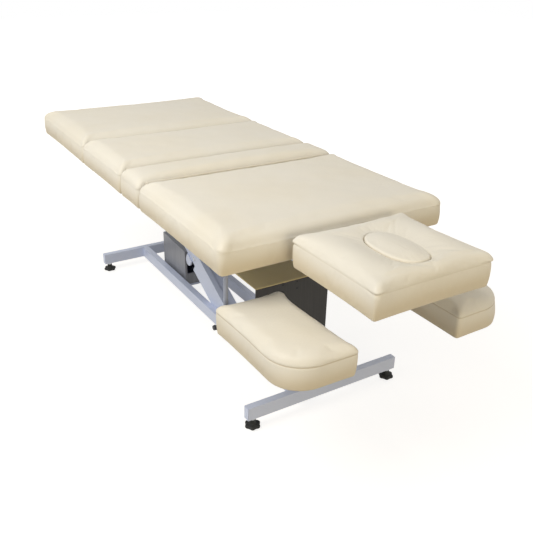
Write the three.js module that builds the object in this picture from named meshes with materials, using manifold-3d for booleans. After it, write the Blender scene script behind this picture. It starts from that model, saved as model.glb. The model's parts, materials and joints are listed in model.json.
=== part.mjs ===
// Electric massage table on a scissor lift: four upholstered sections, a face rest and two arm rests.
// Millimetres, +Z up, +Y towards the foot end, origin on the floor under the middle of the table.
import * as THREE from 'three';
import { mergeVertices } from 'three/addons/utils/BufferGeometryUtils.js';
import Module from 'manifold-3d';

const wasm = await Module();
wasm.setup();

// Driving dimensions of the table top
const tableWidth = 813;
const topHeight = 681;
const backLength = 590;
const seatLength = 173;
const thighLength = 419;
const calfLength = 557;
const headrestLength = 358;
const headrestWidth = 396;
const headrestGap = 38;
const padThickness = 103;
const boardThickness = 12;
const crown = 6;
const edgeRound = 27;
const smallEdgeRound = 19;
const sideDraw = 3;
const boardInset = 4;
const sectionCorner = 32;
const restCorner = 12;
const tightCorner = 7;
const wideSeam = 8;
const kneeSeam = 4;
const fit = 0.3;
const weld = 1;
const over = 5;

// Face rest opening and its plug
const faceHoleLength = 218;
const faceHoleWidth = 124;
const faceHoleOffset = 21;
const plugClearance = 1.2;
const plugLedge = 14;
const plugRound = 12;
const plugHem = 1;

// Arm rest pads and the swing arms that carry them
const armPadInset = 6.5;
const armPadWidth = 217;
const armPadNear = -333;
const armPadFar = 40;
const armPadDrop = 206;
const armPadThickness = 90;
const armPadBigCorner = 105;
const armPadInnerCorner = 20;
const armPostInset = 50;
const armPostY = 64;
const armTube = 14;
const armArmEnd = -250;
const armPlateStart = 52;
const armPlateNear = -210;
const armPlateFar = -110;
const armPlateThickness = 5;

// Base frame
const baseHalfWidth = 301;
const tubeWide = 25;
const tubeHigh = 46;
const tubeWall = 2;
const tubeBottom = 38;
const headBarNear = 21;
const footBarNear = 1346;
const railInner = 85;
const railWide = 27;
const footX = 278;
const footRadius = 27;
const footLip = 2;
const footNeck = 10;
const footStud = 5;
const footStudRise = 10;
const footPadHigh = 13;
const footConeHigh = 21;

// Scissor lift
const legLength = 669;
const upperStack = 144.92;
const lowerPivotSet = 38;
const lowerPivotZ = 61;
const pivotRadius = 9;
const shaftTip = 148;
const boreGap = 0.3;
const legAOuter = 84;
const legAStep = 62;
const legAInner = 26;
const legATop = 42;
const legAStepDrop = 8;
const legABottom = -22;
const legAKeelBottom = -50;
const legAKeelEnd = 317;
const legAKeelStart = 60;
const legWall = 3;
const legHeel = 30;
const legAHollowStart = 48;
const legAPast = 21;
const lugNear = 340;
const lugFar = 385;
const lugDrop = 62;
const lugThick = 6;
const pinProud = 1.8;
const legBNear = 34;
const legBFar = 61;
const legBHalfDepth = 28;
const legBTaper = 90;
const legBTopTaper = 54;
const legBToe = 13;
const legBWindow = [108, 144];
const channelInner = 88;
const channelOuter = 112;
const channelWall = 3;
const channelInnerHigh = 34;
const channelBefore = 25;
const channelPast = 49.3;
const topRollerRadius = 16.7;
const topRollerIn = 89;
const topRollerOut = 106;
const lowRollerRadius = 14.7;
const lowRollerA = [16, 29];
const lowRollerB = [63, 71];
const lowAxleRadius = 7;
const shaftOut = 116;

// Guard over the sliding end of the lift, and the tray it stands on
const guardHalf = 74;
const guardBefore = 182.7;
const guardPast = 42.3;
const guardBrow = 8;
const guardSlope = 11;
const guardWall = 2;
const guardNotchHalf = 64;
const notchRoomAbove = 7.2;
const notchRoomBelow = 10.6;
const trayHigh = 8;
const trayOver = 2;

// Linear drives
const drivePinU = 250;
const drivePinV = -36;
const drivePinEnd = 12;
const drivePinRadius = 6;
const driveRearPast = 17.3;
const driveRearZ = 112;
const driveRadius = 22;
const driveRod = 10;
const driveRodGap = 0.4;
const driveEyeHalfThick = 8;
const driveEyeOuter = 14;
const driveEarSmall = 12;
const driveEyeWall = 4.8;
const driveNeck = 50;
const driveNeckHalf = 7;
const slotAlong = 7;
const liftSlotAcross = 3.2;
const sectionSlotAcross = 2.2;
const earThick = 3.4;
const earGap = 0.6;
const sectionDriveX = 30;
const sectionDriveReach = 300;
const sectionDriveSet = 60;
const sectionDrivePinDrop = 138;

// Control box under the head end
const boxHalf = 150;
const boxAlong = 194;
const boxDeep = 160;
const boxTop = 371;
const boxWall = 2;
const boxFrontThick = 2.5;
const boxBodyLeft = 40;
const boxBodyRight = 140;
const lidThick = 4;
const inletWide = 30;
const inletHigh = 24;
const inletLip = 4;
const inletProud = 5;
const inletDeep = 3;
const inletRise = 60;

// Upper frame
const hingeStand = 30.3;
const railTubeHigh = 27.7;
const portalWide = 22;
const portalBeamHigh = 27.7;
const portalHeadPast = 60;
const portalMiddlePast = 113;
const portalEndSet = 14;
const topRailBefore = 290;
const backRailInner = 117.5;
const backRailSize = 25;
const backRailWall = 2.5;
const backRailStart = 5;
const backRailShort = 45;
const crossHalf = 22;
const crossThick = 4.4;
const rodShort = 75;
const rodFootEnd = 230;

// Raised hinges in the two wide seams
const hingeDrop = 13;
const hingeRadius = 5;
const hingePin = 2.5;
const leafThick = 2.5;
const leafFromSeam = 1;
const leafInset = 36.5;
const leafSegments = 5;
const leafFlange = 36;
const flangeThick = 3.7;
const knuckleGap = 0.6;

// Knee hinge and level link
const kneeDrop = 15;
const kneePin = 6;
const kneeEye = 12;
const kneeEarThick = 10;
const kneeEarGap = 0.6;
const kneeRailGap = 1.5;
const calfRailShort = 101;
const thighPlateHalf = 16;
const thighPlateLift = 3;
const thighPlateThick = 7;
const linkRadius = 13;
const linkThick = 12;
const linkGap = 1;
const linkAway = 64;
const linkPinDrop = 40;
const dropPlateThick = 5;

// Derived places
const topLength = backLength + seatLength + thighLength + calfLength;
const overall = headrestLength + headrestGap + topLength;
const backStart = -overall / 2 + headrestLength + headrestGap;
const halfTable = tableWidth / 2;
const underTop = topHeight - padThickness;
const padBottom = underTop + boardThickness;
const seamBack = backLength;
const seamThigh = backLength + seatLength;
const seamKnee = seamThigh + thighLength;
const hingeZ = topHeight - hingeDrop;
const kneeZ = underTop - kneeDrop;
const frameTop = underTop - hingeStand;
const frameBottom = frameTop - railTubeHigh;
const upperPivotZ = frameBottom - upperStack;
const lowerPivotY = seamBack - lowerPivotSet;
const legRise = upperPivotZ - lowerPivotZ;
const legRad = Math.asin(legRise / legLength);
const legAngle = THREE.MathUtils.radToDeg(legRad);
const legRun = legLength * Math.cos(legRad);
const slideY = lowerPivotY + legRun;
const crossY = lowerPivotY + legRun / 2;
const crossZ = lowerPivotZ + legRise / 2;
const tubeTop = tubeBottom + tubeHigh;
const railOuter = railInner + railWide;
const channelTop = upperPivotZ + channelInnerHigh / 2 + channelWall;
const channelBottom = upperPivotZ - channelInnerHigh / 2 - channelWall;
const channelNear = lowerPivotY - channelBefore;
const channelFar = slideY + channelPast;
const leafHalf = halfTable - leafInset;
const headBarFar = headBarNear + tubeWide;
const guardNear = slideY - guardBefore;
const guardFar = slideY + guardPast;
const driveRearY = slideY + driveRearPast;
const armPadOuter = halfTable - armPadInset;
const armPadInner = armPadOuter - armPadWidth;
const armPadTop = topHeight - armPadDrop;
const armPadBottom = armPadTop - armPadThickness;
const armPostX = halfTable - armPostInset;
const armPlateInner = armPadInner + armPlateStart;

// Finishes
function finish(color, roughness, metalness) {
  return new THREE.MeshStandardMaterial({ color, roughness, metalness });
}
const creamVinyl = finish(0xe4dcc9, 0.5, 0);
const shadeVinyl = finish(0xb09d78, 0.5, 0);
const framePaint = finish(0xb8bfd2, 0.4, 0.3);
const darkPaint = finish(0x444446, 0.45, 0.2);
const plywood = finish(0xb89668, 0.8, 0);
const bareSteel = finish(0xa0a4a8, 0.35, 0.9);
const blackRubber = finish(0x282a29, 0.85, 0);
const drivePlastic = finish(0x2e3033, 0.6, 0);

const table = new THREE.Group();

// Turn a three.js geometry into a solid, and a solid back into a named mesh
function toSolid(geometry) {
  const bare = geometry.clone();
  bare.deleteAttribute('normal');
  bare.deleteAttribute('uv');
  const merged = mergeVertices(bare);
  const mesh = new wasm.Mesh({
    numProp: 3,
    vertProperties: new Float32Array(merged.attributes.position.array),
    triVerts: new Uint32Array(merged.index.array),
  });
  return new wasm.Manifold(mesh);
}

// Add one sub-part; its places are measured from the head end of the back section
function place(name, solid, material) {
  const result = solid.getMesh();
  const geometry = new THREE.BufferGeometry();
  geometry.setAttribute('position', new THREE.BufferAttribute(result.vertProperties, 3));
  geometry.setIndex(new THREE.BufferAttribute(result.triVerts, 1));
  geometry.computeVertexNormals();
  const mesh = new THREE.Mesh(geometry, material);
  mesh.name = name;
  mesh.position.set(0, backStart, 0);
  table.add(mesh);
}

// A box between low and high corners on each axis
function block([xLow, xHigh], [yLow, yHigh], [zLow, zHigh]) {
  const geometry = new THREE.BoxGeometry(xHigh - xLow, yHigh - yLow, zHigh - zLow);
  geometry.translate((xLow + xHigh) / 2, (yLow + yHigh) / 2, (zLow + zHigh) / 2);
  return toSolid(geometry);
}

// A round bar along X
function barX(radius, [xLow, xHigh], y, z, sides = 24) {
  const geometry = new THREE.CylinderGeometry(radius, radius, xHigh - xLow, sides);
  geometry.rotateZ(Math.PI / 2);
  geometry.translate((xLow + xHigh) / 2, y, z);
  return toSolid(geometry);
}

// A round bar along Y
function barY(radius, x, [yLow, yHigh], z, sides = 24) {
  const geometry = new THREE.CylinderGeometry(radius, radius, yHigh - yLow, sides);
  geometry.translate(0, (yLow + yHigh) / 2, 0);
  return toSolid(geometry).translate([x, 0, z]);
}

// An outline in the Y-Z plane, carried along X
function plateX(points, [xLow, xHigh]) {
  const shape = new THREE.Shape(points.map(([y, z]) => new THREE.Vector2(y, z)));
  const geometry = new THREE.ExtrudeGeometry(shape, { depth: xHigh - xLow, bevelEnabled: false });
  geometry.rotateY(Math.PI / 2);
  geometry.rotateX(Math.PI / 2);
  return toSolid(geometry).translate([xLow, 0, 0]);
}

// An outline in the X-Y plane, carried up along Z
function plateZ(points, [zLow, zHigh]) {
  const shape = new THREE.Shape(points.map(([x, y]) => new THREE.Vector2(x, y)));
  const geometry = new THREE.ExtrudeGeometry(shape, { depth: zHigh - zLow, bevelEnabled: false });
  return toSolid(geometry).translate([0, 0, zLow]);
}

// The points of an arc in a plane
function arc(cu, cv, radius, from, to, steps) {
  const points = [];
  for (let k = 0; k <= steps; k += 1) {
    const angle = THREE.MathUtils.degToRad(from + ((to - from) * k) / steps);
    points.push([cu + radius * Math.cos(angle), cv + radius * Math.sin(angle)]);
  }
  return points;
}

// Turn a solid drawn flat at a pivot by an angle, and move the pivot to its place
function setAt(solid, degrees, y, z) {
  return solid.rotate([degrees, 0, 0]).translate([0, y, z]);
}

const both = (low, high) => [[-high, -low], [low, high]];
const mirrored = (solid) => solid.mirror([1, 0, 0]);

// Rectangle outline with four corner radii, drawn in along its sides, as one ring of points
const sideSteps = 5;
const cornerSteps = 3;
const quarter = 90;
const leastCorner = 1.2;
const mostCornerShare = 1.45;
function ringOutline(halfX, halfY, radii, inset, draw) {
  const reachX = halfX - inset;
  const reachY = halfY - inset;
  const most = mostCornerShare * Math.min(reachX, reachY);
  const cut = radii.map((radius) => Math.min(Math.max(radius - inset, leastCorner), most));
  const signs = [[1, 1], [-1, 1], [-1, -1], [1, -1]];
  const corners = signs.map(([sx, sy], k) => {
    const centre = [sx * (reachX - cut[k]), sy * (reachY - cut[k])];
    return arc(...centre, cut[k], quarter * k, quarter * (k + 1), cornerSteps);
  });
  const points = [];
  corners.forEach((corner, k) => {
    points.push(...corner);
    const from = corner[cornerSteps];
    const to = corners[(k + 1) % 4][0];
    const angle = THREE.MathUtils.degToRad(quarter * (k + 1));
    for (let s = 1; s < sideSteps; s += 1) {
      const t = s / sideSteps;
      const pull = draw * 4 * t * (1 - t);
      points.push([
        from[0] + (to[0] - from[0]) * t - pull * Math.cos(angle),
        from[1] + (to[1] - from[1]) * t - pull * Math.sin(angle),
      ]);
    }
  });
  return points;
}

// The closed skin over a stack of rings with as many points each, with a point in the middle of each end
function skin(rings, lowPoint, highPoint) {
  const count = rings[0].length;
  const index = [];
  for (let r = 0; r < rings.length - 1; r += 1) {
    for (let p = 0; p < count; p += 1) {
      const a = r * count + p;
      const b = r * count + ((p + 1) % count);
      index.push(a, b, b + count, a, b + count, a + count);
    }
  }
  const low = rings.length * count;
  const last = low - count;
  for (let p = 0; p < count; p += 1) {
    const q = (p + 1) % count;
    index.push(low, q, p, low + 1, last + p, last + q);
  }
  const geometry = new THREE.BufferGeometry();
  const positions = [...rings.flat(2), ...lowPoint, ...highPoint];
  geometry.setAttribute('position', new THREE.Float32BufferAttribute(positions, 3));
  geometry.setIndex(index);
  return toSolid(geometry);
}

// A crowned cushion: rings from its flat base up its drawn-in sides, over the rounded edge to the crown.
// A small corner is tight at the base and opens to its full radius at the rounded edge.
const roundSteps = 4;
const crownInsetShares = [0.3, 0.6, 0.85];
const sideHeightShare = 0.4;
const baseTuck = 4;
const sideBulge = 1.5;
const cornerOpens = 60;
function cushion({ halfX, halfY, bottom, top, radii, rise = crown, round = edgeRound, draw = sideDraw }) {
  const high = top - round;
  const middle = bottom + (high - bottom) * sideHeightShare;
  const rings = [
    { inset: baseTuck, z: bottom },
    { inset: sideBulge, z: bottom + baseTuck },
    { inset: 0, z: middle },
    { inset: sideBulge / 2, z: high },
  ];
  for (let k = 1; k <= roundSteps; k += 1) {
    const angle = (k / roundSteps) * (Math.PI / 2);
    rings.push({ inset: sideBulge / 2 + round * (1 - Math.cos(angle)), z: high + round * Math.sin(angle) });
  }
  const reach = Math.min(halfX, halfY);
  crownInsetShares.forEach((share) => rings.push({ inset: round + (reach - round) * share, z: top }));
  const lift = (x, y, z) => (z > high ? rise * (1 - (x / halfX) ** 2) * (1 - (y / halfY) ** 2) : 0);
  const skinRings = rings.map(({ inset, z }) => {
    const open = Math.min((z - bottom) / (high - bottom), 1);
    const opened = (radius) => (radius > cornerOpens ? radius : tightCorner + (radius - tightCorner) * open);
    const outline = ringOutline(halfX, halfY, radii.map(opened), inset, draw);
    return outline.map(([x, y]) => [x, y, z + lift(x, y, z)]);
  });
  return skin(skinRings, [0, 0, bottom], [0, 0, top + rise]);
}

// A closed oval outline
const ovalSteps = 28;
function oval(halfX, halfY, cx, cy) {
  const points = [];
  for (let k = 0; k < ovalSteps; k += 1) {
    const angle = (k / ovalSteps) * Math.PI * 2;
    points.push([cx + halfX * Math.cos(angle), cy + halfY * Math.sin(angle)]);
  }
  return points;
}

// One upholstered section: its board, and its cushion on the board
const tightAll = [tightCorner, tightCorner, tightCorner, tightCorner];
function section(name, yLow, yHigh, radii) {
  const halfY = (yHigh - yLow) / 2;
  const centre = (yHigh + yLow) / 2;
  const pad = cushion({ halfX: halfTable, halfY, bottom: padBottom + fit, top: topHeight, radii });
  const outline = ringOutline(halfTable, halfY, tightAll, boardInset, 0);
  place(`${name}_cushion`, pad.translate([0, centre, 0]), creamVinyl);
  place(`${name}_board`, plateZ(outline, [underTop, padBottom]).translate([0, centre, 0]), plywood);
}
section('back', 0, seamBack - wideSeam / 2, [tightCorner, tightCorner, sectionCorner, sectionCorner]);
section('seat', seamBack + wideSeam / 2, seamThigh - wideSeam / 2, tightAll);
section('thigh', seamThigh + wideSeam / 2, seamKnee - kneeSeam / 2, tightAll);
section('calf', seamKnee + kneeSeam / 2, topLength, [sectionCorner, sectionCorner, tightCorner, tightCorner]);

// Base: two cross bars with a levelling foot at each end, and two rails between them
const grown = ([low, high], by) => [low - by, high + by];
function rectTube(x, y, z, openAxis, wall = tubeWall) {
  const inside = (pair, axis) => (axis === openAxis ? grown(pair, over) : grown(pair, -wall));
  return block(x, y, z).subtract(block(inside(x, 'x'), inside(y, 'y'), inside(z, 'z')));
}
const barZ = [tubeBottom, tubeTop];
const barMiddles = { head: headBarNear + tubeWide / 2, foot: footBarNear + tubeWide / 2 };
for (const [end, middle] of Object.entries(barMiddles)) {
  let bar = rectTube([-baseHalfWidth, baseHalfWidth], grown([middle, middle], tubeWide / 2), barZ, 'x');
  for (const side of [-1, 1]) {
    const studHole = new THREE.CylinderGeometry(footStud + boreGap, footStud + boreGap, tubeWall + over, 16);
    studHole.rotateX(Math.PI / 2);
    bar = bar.subtract(toSolid(studHole).translate([side * footX, middle, tubeBottom]));
    const profile = [
      [0, 0],
      [footRadius, 0],
      [footRadius, footPadHigh / 2],
      [footRadius - footLip, footPadHigh],
      [footNeck, footConeHigh],
      [footNeck, tubeBottom - fit],
      [footStud, tubeBottom - fit],
      [footStud, tubeBottom + footStudRise],
      [0, tubeBottom + footStudRise],
    ].map(([r, z]) => new THREE.Vector2(r, z));
    const turned = new THREE.LatheGeometry(profile, 20);
    turned.rotateX(Math.PI / 2);
    const foot = toSolid(turned).translate([side * footX, middle, 0]);
    place(`foot_${end}_${side < 0 ? 'left' : 'right'}`, foot, blackRubber);
  }
  place(`base_bar_${end}`, bar, framePaint);
}
const railY = [headBarFar + fit, footBarNear - fit];
both(railInner, railOuter).forEach((x, k) => {
  const bore = barX(pivotRadius + boreGap, grown(x, over), lowerPivotY, lowerPivotZ);
  place(`base_rail_${k ? 'right' : 'left'}`, rectTube(x, railY, barZ, 'y').subtract(bore), framePaint);
});
place('lower_pivot_shaft', barX(pivotRadius, [-shaftTip, shaftTip], lowerPivotY, lowerPivotZ), bareSteel);

// Ears for a drive pin: two plates that reach up or down from the pin at the origin, and the pin between them
const earHalfGap = Math.max(driveEyeHalfThick, driveRod) + earGap;
function ears(half, reach) {
  const end = reach + Math.sign(reach) * weld;
  const turn = reach > 0 ? 180 : -180;
  const round = arc(0, 0, half, 180, 180 + turn, 8).slice(1, -1);
  const outline = [[half, 0], [half, end], [-half, end], [-half, 0], ...round];
  const plates = both(earHalfGap, earHalfGap + earThick).map((x) => plateX(outline, x));
  const pin = barX(drivePinRadius, grown([0, 0], earHalfGap + earThick), 0, 0, 20);
  return plates[0].add(plates[1]).add(pin);
}

// Tray between the rails, with the ears of the lift drive, and the guard that stands on it
const trayTop = tubeBottom + trayHigh;
const trayY = grown([guardNear, guardFar], trayOver);
const tray = block(grown([0, 0], railInner - fit), trayY, [tubeBottom, trayTop]);
const trayEars = ears(driveEyeOuter, trayTop - driveRearZ).translate([0, driveRearY, driveRearZ]);
place('drive_tray', tray.add(trayEars), framePaint);

// The guard's near face is cut away where lift leg B and the lift drive come in and swing
const guardFoot = trayTop + fit;
const legBAtGuard = upperPivotZ - (guardNear - lowerPivotY) * Math.tan(legRad);
const liftPinY = lowerPivotY + drivePinU * Math.cos(legRad) - drivePinV * Math.sin(legRad);
const liftPinZ = lowerPivotZ + drivePinU * Math.sin(legRad) + drivePinV * Math.cos(legRad);
const driveSlope = (liftPinZ - driveRearZ) / (driveRearY - liftPinY);
const driveAtGuard = driveRearZ + driveSlope * (driveRearY - guardNear);
const notchTop = legBAtGuard + legBHalfDepth / Math.cos(legRad) + notchRoomAbove;
const notchLow = driveAtGuard - driveRadius - notchRoomBelow;
const guardSide = (inset) => [
  [guardNear + inset, guardFoot - (inset ? over : 0)],
  [guardFar - inset, guardFoot - (inset ? over : 0)],
  [guardFar - inset, notchTop + guardBrow + guardSlope - inset],
  [guardNear + inset, notchTop + guardBrow - inset],
];
const guardShell = plateX(guardSide(0), grown([0, 0], guardHalf))
  .subtract(plateX(guardSide(guardWall), grown([0, 0], guardHalf - guardWall)))
  .subtract(block(grown([0, 0], guardNotchHalf), grown([guardNear, guardNear], over), [notchLow, notchTop]));
place('drive_guard', guardShell, darkPaint);

// Control box on the rails: a wide dark front plate, a narrower folded body behind it, and a tan lid over
// both. The body's rear wall has the frame of the mains inlet.
const boxBottom = tubeTop + fit;
const lidBottom = boxTop - lidThick;
const boxNear = headBarFar + boxAlong;
const boxFar = boxNear + boxDeep;
const boxFrontY = [boxNear, boxNear + boxFrontThick];
const boxBodyX = [-boxBodyLeft, boxBodyRight];
const boxBodyY = [boxFrontY[1] + fit, boxFar];
const boxZ = [boxBottom, lidBottom - fit];
const inletX = grown([(boxBodyX[0] + boxBodyX[1]) / 2, (boxBodyX[0] + boxBodyX[1]) / 2], inletWide / 2);
const inletZ = grown([boxBottom + inletRise, boxBottom + inletRise], inletHigh / 2);
const inletY = [boxFar - boxWall, boxFar + inletProud];
const inletFrame = block(grown(inletX, inletLip), inletY, grown(inletZ, inletLip))
  .subtract(block(inletX, [boxFar + inletProud - inletDeep, boxFar + inletProud + over], inletZ));
const bodyShell = block(boxBodyX, boxBodyY, boxZ)
  .subtract(block(grown(boxBodyX, -boxWall), [boxBodyY[0] - over, boxFar - boxWall], grown(boxZ, over)))
  .add(inletFrame);
place('control_box_body', bodyShell, darkPaint);
place('control_box_front', block(grown([0, 0], boxHalf), boxFrontY, boxZ), darkPaint);
place('control_box_lid', block(grown([0, 0], boxHalf), [boxNear, boxFar], [lidBottom, boxTop]), shadeVinyl);

// Lift leg A: two tubes side by side with a keel under their lower half, drawn along its length from its
// pivot. A lug plate with a round lower end is welded to its outer face.
const legAX = [-legAOuter, -legAInner];
const outerTubeX = [-legAOuter, -legAStep];
const innerTubeX = [-legAStep, -legAInner];
const outerTubeZ = [legABottom, legATop];
const innerTubeZ = [legABottom, legATop - legAStepDrop];
const legAEnd = legLength + legAPast;
const keelU = [legAKeelStart, legAKeelEnd];
const keelOutline = [
  ...arc(0, 0, legHeel, 180, 270, 6),
  [keelU[0], legAKeelBottom],
  [keelU[1], legAKeelBottom],
  [keelU[1], legABottom + weld],
  [0, legABottom + weld],
];
const lugMiddle = (lugNear + lugFar) / 2;
const lugRadius = (lugFar - lugNear) / 2;
const lugOutline = [
  [lugFar, legABottom + legWall],
  [lugNear, legABottom + legWall],
  ...arc(lugMiddle, lugRadius - lugDrop, lugRadius, 180, 360, 8),
];
const legHollow = (x, z) => block(grown(x, -legWall), [legAHollowStart, legAEnd + over], grown(z, -legWall));
const keelHollowU = [keelU[0] + legWall, keelU[1] + over];
const keelHollowZ = grown([legAKeelBottom, legABottom], -legWall);
const legABores = [[0, pivotRadius], [legLength / 2, pivotRadius], [legLength, lowAxleRadius]];
let legA = block(outerTubeX, [0, legAEnd], outerTubeZ)
  .add(block(innerTubeX, [0, legAEnd], innerTubeZ))
  .add(plateX(keelOutline, legAX))
  .add(barX(legHeel, legAX, 0, 0))
  .add(plateX(lugOutline, [-legAOuter - lugThick, -legAOuter + weld]))
  .subtract(legHollow(outerTubeX, outerTubeZ))
  .subtract(legHollow(innerTubeX, innerTubeZ))
  .subtract(block(grown(legAX, -legWall), keelHollowU, keelHollowZ));
legABores.forEach(([u, radius]) => {
  legA = legA.subtract(barX(radius + boreGap, grown(legAX, over), u, 0));
});
legA = legA.add(barX(drivePinRadius, [-legAOuter + weld, drivePinEnd], drivePinU, drivePinV, 20));
place('lift_leg_a', setAt(legA, legAngle, lowerPivotY, lowerPivotZ), framePaint);
const crossingX = grown([-legAOuter, legBFar], pinProud);
place('crossing_pin', barX(pivotRadius, crossingX, crossY, crossZ), bareSteel);

// Upper sliding axle of leg A with its two rollers, which turn as one
const topAxle = barX(lowAxleRadius, [-topRollerOut, topRollerOut], slideY, upperPivotZ)
  .add(barX(topRollerRadius, [-topRollerOut, -topRollerIn], slideY, upperPivotZ, 32))
  .add(barX(topRollerRadius, [topRollerIn, topRollerOut], slideY, upperPivotZ, 32));
place('upper_roller_axle', topAxle, bareSteel);

// Lift leg B: one tube, tapered at its lower end, drawn along its length from its upper pivot
const legBOutline = [
  ...arc(0, 0, legBHalfDepth, 90, 270, 8),
  [legLength - legBTaper, -legBHalfDepth],
  ...arc(legLength, 0, legBToe, -90, 90, 8),
  [legLength - legBTopTaper, legBHalfDepth],
];
const legBX = [legBNear, legBFar];
const legBHollowU = [legBHalfDepth, legLength - legBTaper];
const legBHollowZ = grown([-legBHalfDepth, legBHalfDepth], -legWall);
const legBWindowX = [legBNear - over, legBNear + legWall + weld];
const legBWindowU = [legLength - legBWindow[1], legLength - legBWindow[0]];
const legBBores = [[0, pivotRadius], [legLength / 2, pivotRadius], [legLength, lowAxleRadius]];
let legB = plateX(legBOutline, legBX)
  .subtract(block(grown(legBX, -legWall), legBHollowU, legBHollowZ))
  .subtract(block(legBWindowX, legBWindowU, grown([0, 0], legBToe)));
legBBores.forEach(([u, radius]) => {
  legB = legB.subtract(barX(radius + boreGap, grown(legBX, over), u, 0));
});
place('lift_leg_b', setAt(legB, -legAngle, lowerPivotY, upperPivotZ), framePaint);
const lowAxle = barX(lowAxleRadius, [lowRollerA[0], lowRollerB[1]], slideY, lowerPivotZ)
  .add(barX(lowRollerRadius, lowRollerA, slideY, lowerPivotZ, 32))
  .add(barX(lowRollerRadius, lowRollerB, slideY, lowerPivotZ, 32));
place('lower_roller_axle', lowAxle, bareSteel);

// Upper frame: two roller channels, three portals, two top rails and the upper pivot shaft
both(channelInner, channelOuter).forEach((x, k) => {
  const y = [channelNear, channelFar];
  const z = [channelBottom, channelTop];
  const open = k ? [x[0] - over, x[1] - channelWall] : [x[0] + channelWall, x[1] + over];
  const inside = block(open, grown(y, over), grown(z, -channelWall));
  const bore = barX(pivotRadius + boreGap, grown(x, over), lowerPivotY, upperPivotZ);
  place(`roller_channel_${k ? 'right' : 'left'}`, block(x, y, z).subtract(inside).subtract(bore), framePaint);
});
place('upper_pivot_shaft', barX(pivotRadius, grown([0, 0], shaftOut), lowerPivotY, upperPivotZ), bareSteel);
const linkPinEnd = -channelOuter - dropPlateThick - linkGap - linkThick - linkGap;
const linkStartY = seamThigh + linkAway;
const linkStartZ = underTop - linkPinDrop;
both(channelInner, channelOuter).forEach((x, k) => {
  let rail = rectTube(x, [seamBack - topRailBefore, channelFar], [frameBottom, frameTop], 'y');
  if (!k) rail = rail.add(barX(kneePin, [linkPinEnd, -channelOuter + weld], linkStartY, linkStartZ, 20));
  place(`top_rail_${k ? 'right' : 'left'}`, rail, framePaint);
});
const sectionPinZ = hingeZ - Math.sqrt(sectionDriveReach ** 2 - sectionDriveSet ** 2);
const portalEars = ears(driveEyeOuter, frameBottom - portalBeamHigh - sectionPinZ);
function portal(name, y, driveX) {
  const deep = grown([y, y], portalWide / 2);
  let frame = block(grown([0, 0], channelOuter), deep, [frameBottom - portalBeamHigh, frameBottom - fit]);
  both(channelInner, channelOuter).forEach((x) => {
    frame = frame.add(block(x, deep, [channelTop + fit, frameBottom - fit]));
  });
  place(name, driveX ? frame.add(portalEars.translate([driveX, y, sectionPinZ])) : frame, framePaint);
}
const portalHeadY = seamBack + portalHeadPast;
const portalMiddleY = seamBack + portalMiddlePast;
portal('portal_head', portalHeadY, -sectionDriveX);
portal('portal_middle', portalMiddleY, sectionDriveX);
portal('portal_foot', channelFar - portalEndSet, 0);

// Raised hinge leaf: a plate in the seam, its flange under the board, and every other knuckle
function hingeLeaf(seam, towards, first, foot) {
  const yPair = (a, b) => (towards > 0 ? [seam + a, seam + b] : [seam - b, seam - a]);
  const plateY = yPair(leafFromSeam, leafFromSeam + leafThick);
  const plateTop = hingeZ - hingeRadius - knuckleGap * 2;
  const flangeY = yPair(leafFromSeam, leafFlange);
  let leaf = block([-leafHalf, leafHalf], plateY, [foot, plateTop])
    .add(block([-leafHalf, leafHalf], flangeY, [underTop - fit - flangeThick, underTop - fit]));
  const span = (leafHalf * 2) / leafSegments;
  for (let k = first; k < leafSegments; k += 2) {
    const x = [-leafHalf + k * span + knuckleGap, -leafHalf + (k + 1) * span - knuckleGap];
    leaf = leaf.add(barX(hingeRadius, x, seam, hingeZ, 12)).add(block(x, plateY, [plateTop - weld, hingeZ]));
  }
  const across = [-leafHalf, leafHalf];
  if (first) return leaf.subtract(barX(hingePin + boreGap, across, seam, hingeZ, 12));
  return leaf.add(barX(hingePin, grown(across, -over), seam, hingeZ, 12));
}
const seatFoot = frameTop + fit;
const movingFoot = underTop - fit - flangeThick;
function seatLeaf(seam, towards) {
  const y = towards > 0 ? [seam + leafFromSeam, seam + leafFlange] : [seam - leafFlange, seam - leafFromSeam];
  let leaf = hingeLeaf(seam, towards, 0, seatFoot);
  both(channelInner, channelOuter).forEach((x) => {
    leaf = leaf.add(block(x, y, [seatFoot, underTop - fit]));
  });
  return leaf;
}
place('seat_leaf_back', seatLeaf(seamBack, 1), bareSteel);
place('seat_leaf_thigh', seatLeaf(seamThigh, -1), bareSteel);
place('back_leaf', hingeLeaf(seamBack, -1, 1, movingFoot), bareSteel);
place('thigh_leaf', hingeLeaf(seamThigh, 1, 1, movingFoot), bareSteel);

// Back section: two hollow rails that also take the rods of the face rest, and a cross plate with the ears
const backRailBottom = underTop - fit - backRailSize;
const backRailY = [backRailStart, seamBack - backRailShort];
const backRailZ = [backRailBottom, underTop - fit];
both(backRailInner, backRailInner + backRailSize).forEach((x, k) => {
  const rail = rectTube(x, backRailY, backRailZ, 'y', backRailWall);
  place(`back_rail_${k ? 'right' : 'left'}`, rail, framePaint);
});
const pinRun = Math.sqrt(sectionDriveReach ** 2 - sectionDrivePinDrop ** 2);
const sectionPinLow = hingeZ - sectionDrivePinDrop;
const backCrossZ = [backRailBottom - fit - crossThick, backRailBottom - fit];
const backPinY = seamBack - pinRun;
const backEarPlace = [-sectionDriveX, backPinY, sectionPinLow];
const backEars = ears(driveEarSmall, backCrossZ[0] - sectionPinLow).translate(backEarPlace);
const backCrossX = grown([0, 0], backRailInner + backRailSize);
const backCross = block(backCrossX, grown([backPinY, backPinY], crossHalf), backCrossZ);
place('back_cross_plate', backCross.add(backEars), framePaint);

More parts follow.
